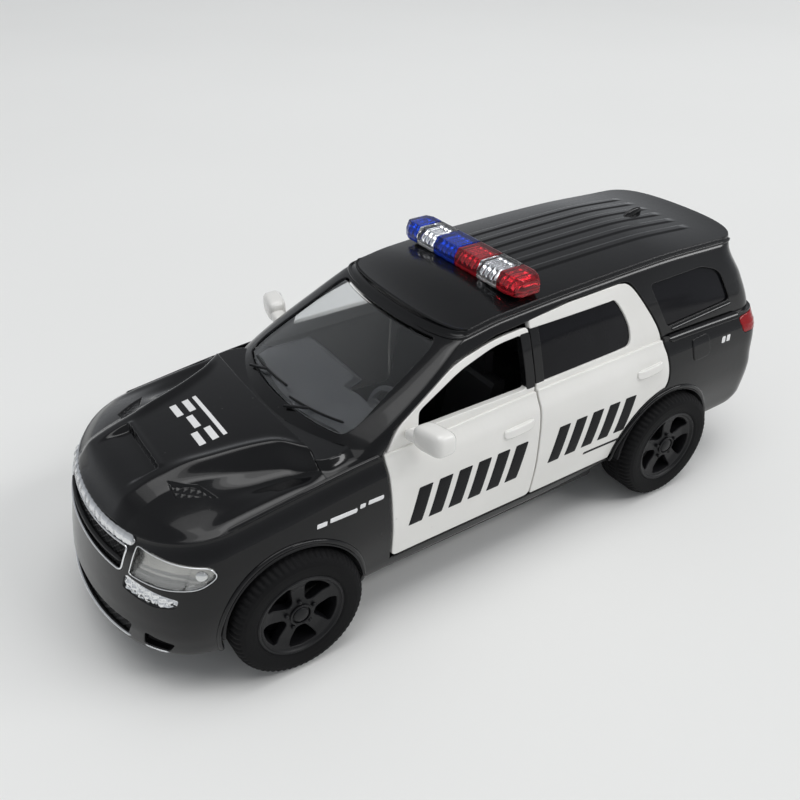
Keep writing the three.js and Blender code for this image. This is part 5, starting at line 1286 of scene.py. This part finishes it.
for name, x0, x1 in BLOCKS:
    colour, outward = name.split("_")[0], 1 if x0 > 0 else -1
    rows, foil_ends = [bar_section(x0), bar_section(x1)], (x0 + 0.4, x1 - 0.4)
    if name.endswith("end"):
        root, tip = (x0, x1)[::outward]
        rows = [bar_section(root), bar_section(tip - outward * 2.2),
                bar_section(tip - outward * 0.8, 0.82, top=BAR_TOP - 0.1),
                bar_section(tip, 0.56, BAR_LOW + 0.1, BAR_TOP - 0.4)][::outward]
        foil_ends = (root + outward * 0.4, tip - outward * 1.2)[::outward]
    block = (np.vstack(rows), tube(len(rows), 8), None)
    lens = add(f"bar_{name}", block, BAR_FINISH[colour], [f"lens_{name}"])
    lens.data.shade_flat()
    edge = lens.modifiers.new("edges", "BEVEL")
    edge.width, edge.segments, edge.limit_method, edge.angle_limit = 0.16 * MM, 2, "ANGLE", 0.35
    add(f"bar_cell_{name}", pleated(*foil_ends), BRIGHT_CHROME if colour == "clear" else SILVER_BOWL)
x, side = np.meshgrid(np.linspace(-13.6, 13.6, 120), np.linspace(-2.5, 2.5, 25), indexing="ij")
dimples = 0.08 * np.cos(side * 3.584) * np.cos(x * 2.6)
add("bar_reflector", sheet(np.stack([x, BAR_Y + side, 45.15 + dimples], -1), 0.35, 0.06), PALE_PLATE)
foot = rounded_block((0, BAR_Y, 44.4), (13.8, 2.5, 0.45), 0.3, 0.5, rows=16, columns=64)
add("bar_foot", foot, SATIN_BLACK, ["light_bar_base"])
print("bar blocks", len(BLOCKS))

# %% [markdown]
# ## Mirrors, handles, wipers and fin
#
# The mirrors are white wedges with rounded corners on a short foot. The handles are pulled-out pads on the doors. Two
# wipers lie on the cowl, and a small fin stands on the roof.

# %% Small outside parts
GRIP_HALF = 3.1


def grip(y, z):
    """Door handle: a pad that stands off the door in its middle and meets it at both ends."""
    corners = [(y + a, z + b + 0.06 * a, 0.7) for a, b in ((-GRIP_HALF, -0.75), (GRIP_HALF, -0.75),
                                                           (GRIP_HALF, 0.75), (-GRIP_HALF, 0.75))]

    def lifted(points):
        return 0.75 * (1 - np.clip(np.abs(points[:, 1] - y) / GRIP_HALF, 0, 1) ** 4)

    return panel(lower_place, [on_side(outline(corners, 0.25))], 0.25, 0.9, 0.28, 0.05, lifted, keep=True)


mirror_head = rounded_block((25.05, -16.6, 32.7), (2.85, 1.75, 2.0), 0.5, 0.55, (0.55, 0.1))
mirror_foot = rounded_block((21.9, -17.4, 32.0), (1.9, 1.3, 1.0), 0.7, 0.7, (0.2, 0.35), 16, 28)
mirror_glass = rounded_block((25.15, -15.12, 32.75), (2.2, 0.22, 1.5), 0.5, 0.6, (0.5, 0.1), 20, 40)
pairs(("mirror_shell", joined(mirror_head, mirror_foot), WHITE_PAINT, "white_plastic", "mirror", None),
      ("mirror_glass", mirror_glass, SMOKED_PANE, "dark_glazing", "", None),
      ("door_handle", grip(1.7, 26.1), WHITE_PAINT, "door_paint", "", None),
      ("rear_handle", grip(30.6, 27.2), WHITE_PAINT, "door_paint", "", BODY))

share = np.linspace(0, 1, 40)
for name, x0, x1 in (("near", 2.5, 14.0), ("far", -11.5, 0.5)):
    blade = end_map(mix(x0, x1, share), 31.75 + 0.5 * share, green=True)
    arm = end_map(mix(x0 + 1.0, mix(x0, x1, 0.45), share), mix(30.9, 31.95, share), green=True)
    add(f"wiper_{name}", joined(bead(*on_skin(green_place, blade, 0.25), 0.22, 0.3, 8),
                                bead(*on_skin(green_place, arm, 0.5), 0.26, 0.2, 8)), SATIN_BLACK)

v, w = np.linspace(0, 0.995, 24)[:, None], np.arange(40)[None] * 2 * np.pi / 40
round_off = np.sqrt(1 - v ** 2)
fin = np.stack([0.62 * round_off * np.sin(w), 45.4 + 1.1 * v - 2.4 * round_off * np.cos(w),
                44.7 + 1.45 * v + 0 * w], -1)
add("fin", (fin.reshape(-1, 3), tube(24, 40, flip=True), None), BLACK_PAINT, ["roof_aerial"])
print("small outside parts done")

# %% [markdown]
# ## Printed marks
#
# Marks on a toy like this are pad-printed: a soft pad lays a film of ink on the paint. Here they are plain slanted
# bars in black on the doors and plain white bars on the hood and fenders. A very thin panel stands for the film.


# %% Bars
def printed(y0, y1, z0, z1, lean):
    """Ink on the side: a slanted bar as a very thin panel that follows the skin."""
    corners = [(y0, z0, 0.05), (y1, z0, 0.05), (y1 + lean, z1, 0.05), (y0 + lean, z1, 0.05)]
    return panel(lower_place, [on_side(outline(corners, 0.3))], 0.8, 0.06, 0.012, 0.022)


def hood_ink(x0, x1, y0, y1):
    """Ink on the hood: a thin sheet on the hood formula."""
    x, y = np.meshgrid(np.linspace(x0, x1, 24), np.linspace(y0, y1, 12), indexing="ij")
    return sheet(np.stack([x, y, hood_shape(x, y) + 0.025], -1), 0.06, 0.01)


door_bars = joined(*[printed(y, y + 2.5, 16.6 + 0.03 * i, 22.9 + 0.05 * i, 2.1)
                     for i, y in enumerate(np.arange(-19.4, 1.0, 3.7))])
rear_bars = joined(*[printed(y, y + 2.4, 16.9 + 0.1 * i, 23.3 + 0.1 * i, 2.1)
                     for i, y in enumerate(np.arange(8.2, 25.0, 3.7))], printed(16.5, 25.0, 15.2, 15.7, 0.15))
fender_bars = joined(*[printed(y, y + width, 23.1 + 0.06 * (y + 35), 23.75 + 0.06 * (y + 35), 0.2)
                       for y, width in ((-34.6, 1.6), (-32.5, 4.4), (-27.6, 0.9), (-26.2, 2.6))],
                     *[printed(y, y + 0.9, 26.9, 28.0, 0.3) for y in (49.0, 50.3)])
hood_bars = joined(*[hood_ink(x, x + 3.4, y, y + 1.0) for x in (-6.0, 2.6) for y in (-43.9, -41.9)],
                   hood_ink(-1.7, 1.7, -42.9, -41.9), hood_ink(-6.0, 6.0, -40.2, -39.6))
pairs(("door_bars", door_bars, BLACK_PRINT, "door_paint", "", None),
      ("rear_bars", rear_bars, BLACK_PRINT, "door_paint", "", BODY),
      ("fender_bars", fender_bars, WHITE_PRINT, "body_paint", "", BODY))
add("hood_bars", hood_bars, WHITE_PRINT)
print("printed bars done")

# %% [markdown]
# ## Inside and underneath
#
# Seats, dashboard and tray are simple mouldings even on the real toy, so the imported solids stay and only get a
# finish. The same holds for the base plate, the axles, the screws and the pull-back motor. One grey pad is added on
# top of the dashboard, because it fills the lower half of the windscreen. It starts just behind the glass. The grey of
# dashboard, steering wheel and pad is painted light: it is made pale to stand in for the light that the clear glass
# keeps from them.

# %% Finishes of kept solids
KEPT = {CABIN_BLACK: ["interior_tray", "front_seat_left", "front_seat_right", "rear_bench"],
        DASH_PAINTED_LIGHT: ["dashboard", "steering_wheel"],
        SATIN_BLACK: ["chassis_base", "motor_case", "motor_cover"],
        DRAWN_STEEL: ["front_axle", "rear_axle", "base_screw_front", "base_screw_rear", "hinge_pin_left",
                      "hinge_pin_right", "mainspring"],
        PLAIN_NYLON: ["axle_pinion", "idler_gear", "barrel_gear"]}
for finish, names in KEPT.items():
    for name in names:
        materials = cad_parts[name].data.materials
        materials.clear()
        materials.append(finish)
pad_x, share = np.linspace(-14, 14, 81)[:, None], np.linspace(0, 1, 50)[None]
pad_start = on_skin(green_place, end_map(pad_x[:, 0], np.full(81, 31.0), green=True), -1.3)[0]
y = mix(pad_start[:, 1:2], -14.4 - 3.2 * ease((pad_x - 1.5) / 2), share)
x = np.broadcast_to(pad_x, y.shape)
z = mix(pad_start[:, 2:], 30.8, ease(share / 0.3)) - 0.9 * ease((share - 0.9) / 0.1)
z = z + 0.9 * bell(x, 8.3, 3.2) * bell(y, -19.2, 1.8)
# Painted light: the pad's pale grey stands in for the light seen through the lower half of the windscreen.
add("dash_pad_painted_light", sheet(np.stack([x, y, z], -1)), DASH_PAINTED_LIGHT)
print("kept solids", sum(len(names) for names in KEPT.values()))

# %% [markdown]
# ## Stage and light
#
# The table is a wide pale sheet with a slow tone change. The room has pale walls and a darker ceiling, which is what
# glass and roof mirror. Three lamps of growing size hang overhead, one above the other, so that the light fades
# towards its edge, and a long narrow one stands behind the toy's left side. Gloss paint shows a lamp as a streak, so
# this last one draws the bright lines on the ridges, the shoulder and the roof edge.

# %% Floor, lamps and room
TABLE_HALF, TABLE_ROWS = 4, 9
CEILING_SIZES, CEILING_POWER, CEILING_Z = ((0.9, 0.45), (1.5, 0.9), (2.1, 1.35)), 4.2, 1900


def pale_table():
    """Pale matt card: two close warm greys mixed by broad noise."""
    material, tree, shader = start_material("pale_table", Roughness=0.75, Specular_IOR_Level=0.2)
    cloud = noise(tree, object_place(tree), 3.0, 3.0)
    tree.links.new(shade_between(tree, cloud, (0.82, 0.82, 0.805), (0.855, 0.855, 0.84)), shader.inputs["Base Color"])
    return material


def soft_lamp(name, place, aim, along, size, watts):
    """Area lamp, long by wide (m), at a place (mm) facing an aim point, its length along a given direction."""
    back = (Vector(place) - Vector(aim)).normalized()
    across = back.cross(Vector(along)).normalized()
    data = bpy.data.lights.new(name, "AREA")
    data.shape, data.energy = "RECTANGLE", watts
    data.size, data.size_y = size
    lamp = bpy.data.objects.new(name, data)
    lamp.location = np.array(place) * MM
    lamp.rotation_euler = Matrix((across.cross(back), across, back)).transposed().to_euler()
    scene.collection.objects.link(lamp)


span = np.linspace(-TABLE_HALF, TABLE_HALF, TABLE_ROWS)
x, y = np.meshgrid(span, span, indexing="ij")
table_mesh = bpy.data.meshes.new("table")
table_mesh.from_pydata(np.stack([x, y, 0 * x], -1).reshape(-1, 3), [],
                       [tuple(face) for face in quads(TABLE_ROWS, TABLE_ROWS)])
table_mesh.materials.append(pale_table())
table = bpy.data.objects.new("table", table_mesh)
scene.collection.objects.link(table)

world = bpy.data.worlds.new("soft_room")
world.use_nodes = True
scene.world = world
room = world.node_tree
toward = add_node(room, "ShaderNodeTexCoord").outputs["Generated"]
height = add_node(room, "ShaderNodeSeparateXYZ", {"Vector": toward}).outputs["Z"]
walls = add_node(room, "ShaderNodeValToRGB", {"Fac": height})
stops = walls.color_ramp.elements
stops.new(0.28), stops.new(0.55)
for stop, level in zip(stops, (0.62, 0.48, 0.37, 0.28)):
    stop.color = (0.93 * level, 0.96 * level, level, 1)
room.links.new(walls.outputs["Color"], room.nodes["Background"].inputs["Color"])

for number, (long, wide) in enumerate(CEILING_SIZES):
    soft_lamp(f"ceiling_light_{number}", (90, 60, CEILING_Z + 10 * number), (90, 60, 0), (0, 1, 0), (long, wide),
              CEILING_POWER * long * wide)
soft_lamp("window_light", (940, 1055, 1100), (0, 0, 0), (0.37, -0.81, 0.45), (1.3, 0.28), 10.0)
print("lamps", [light.name for light in bpy.data.lights])
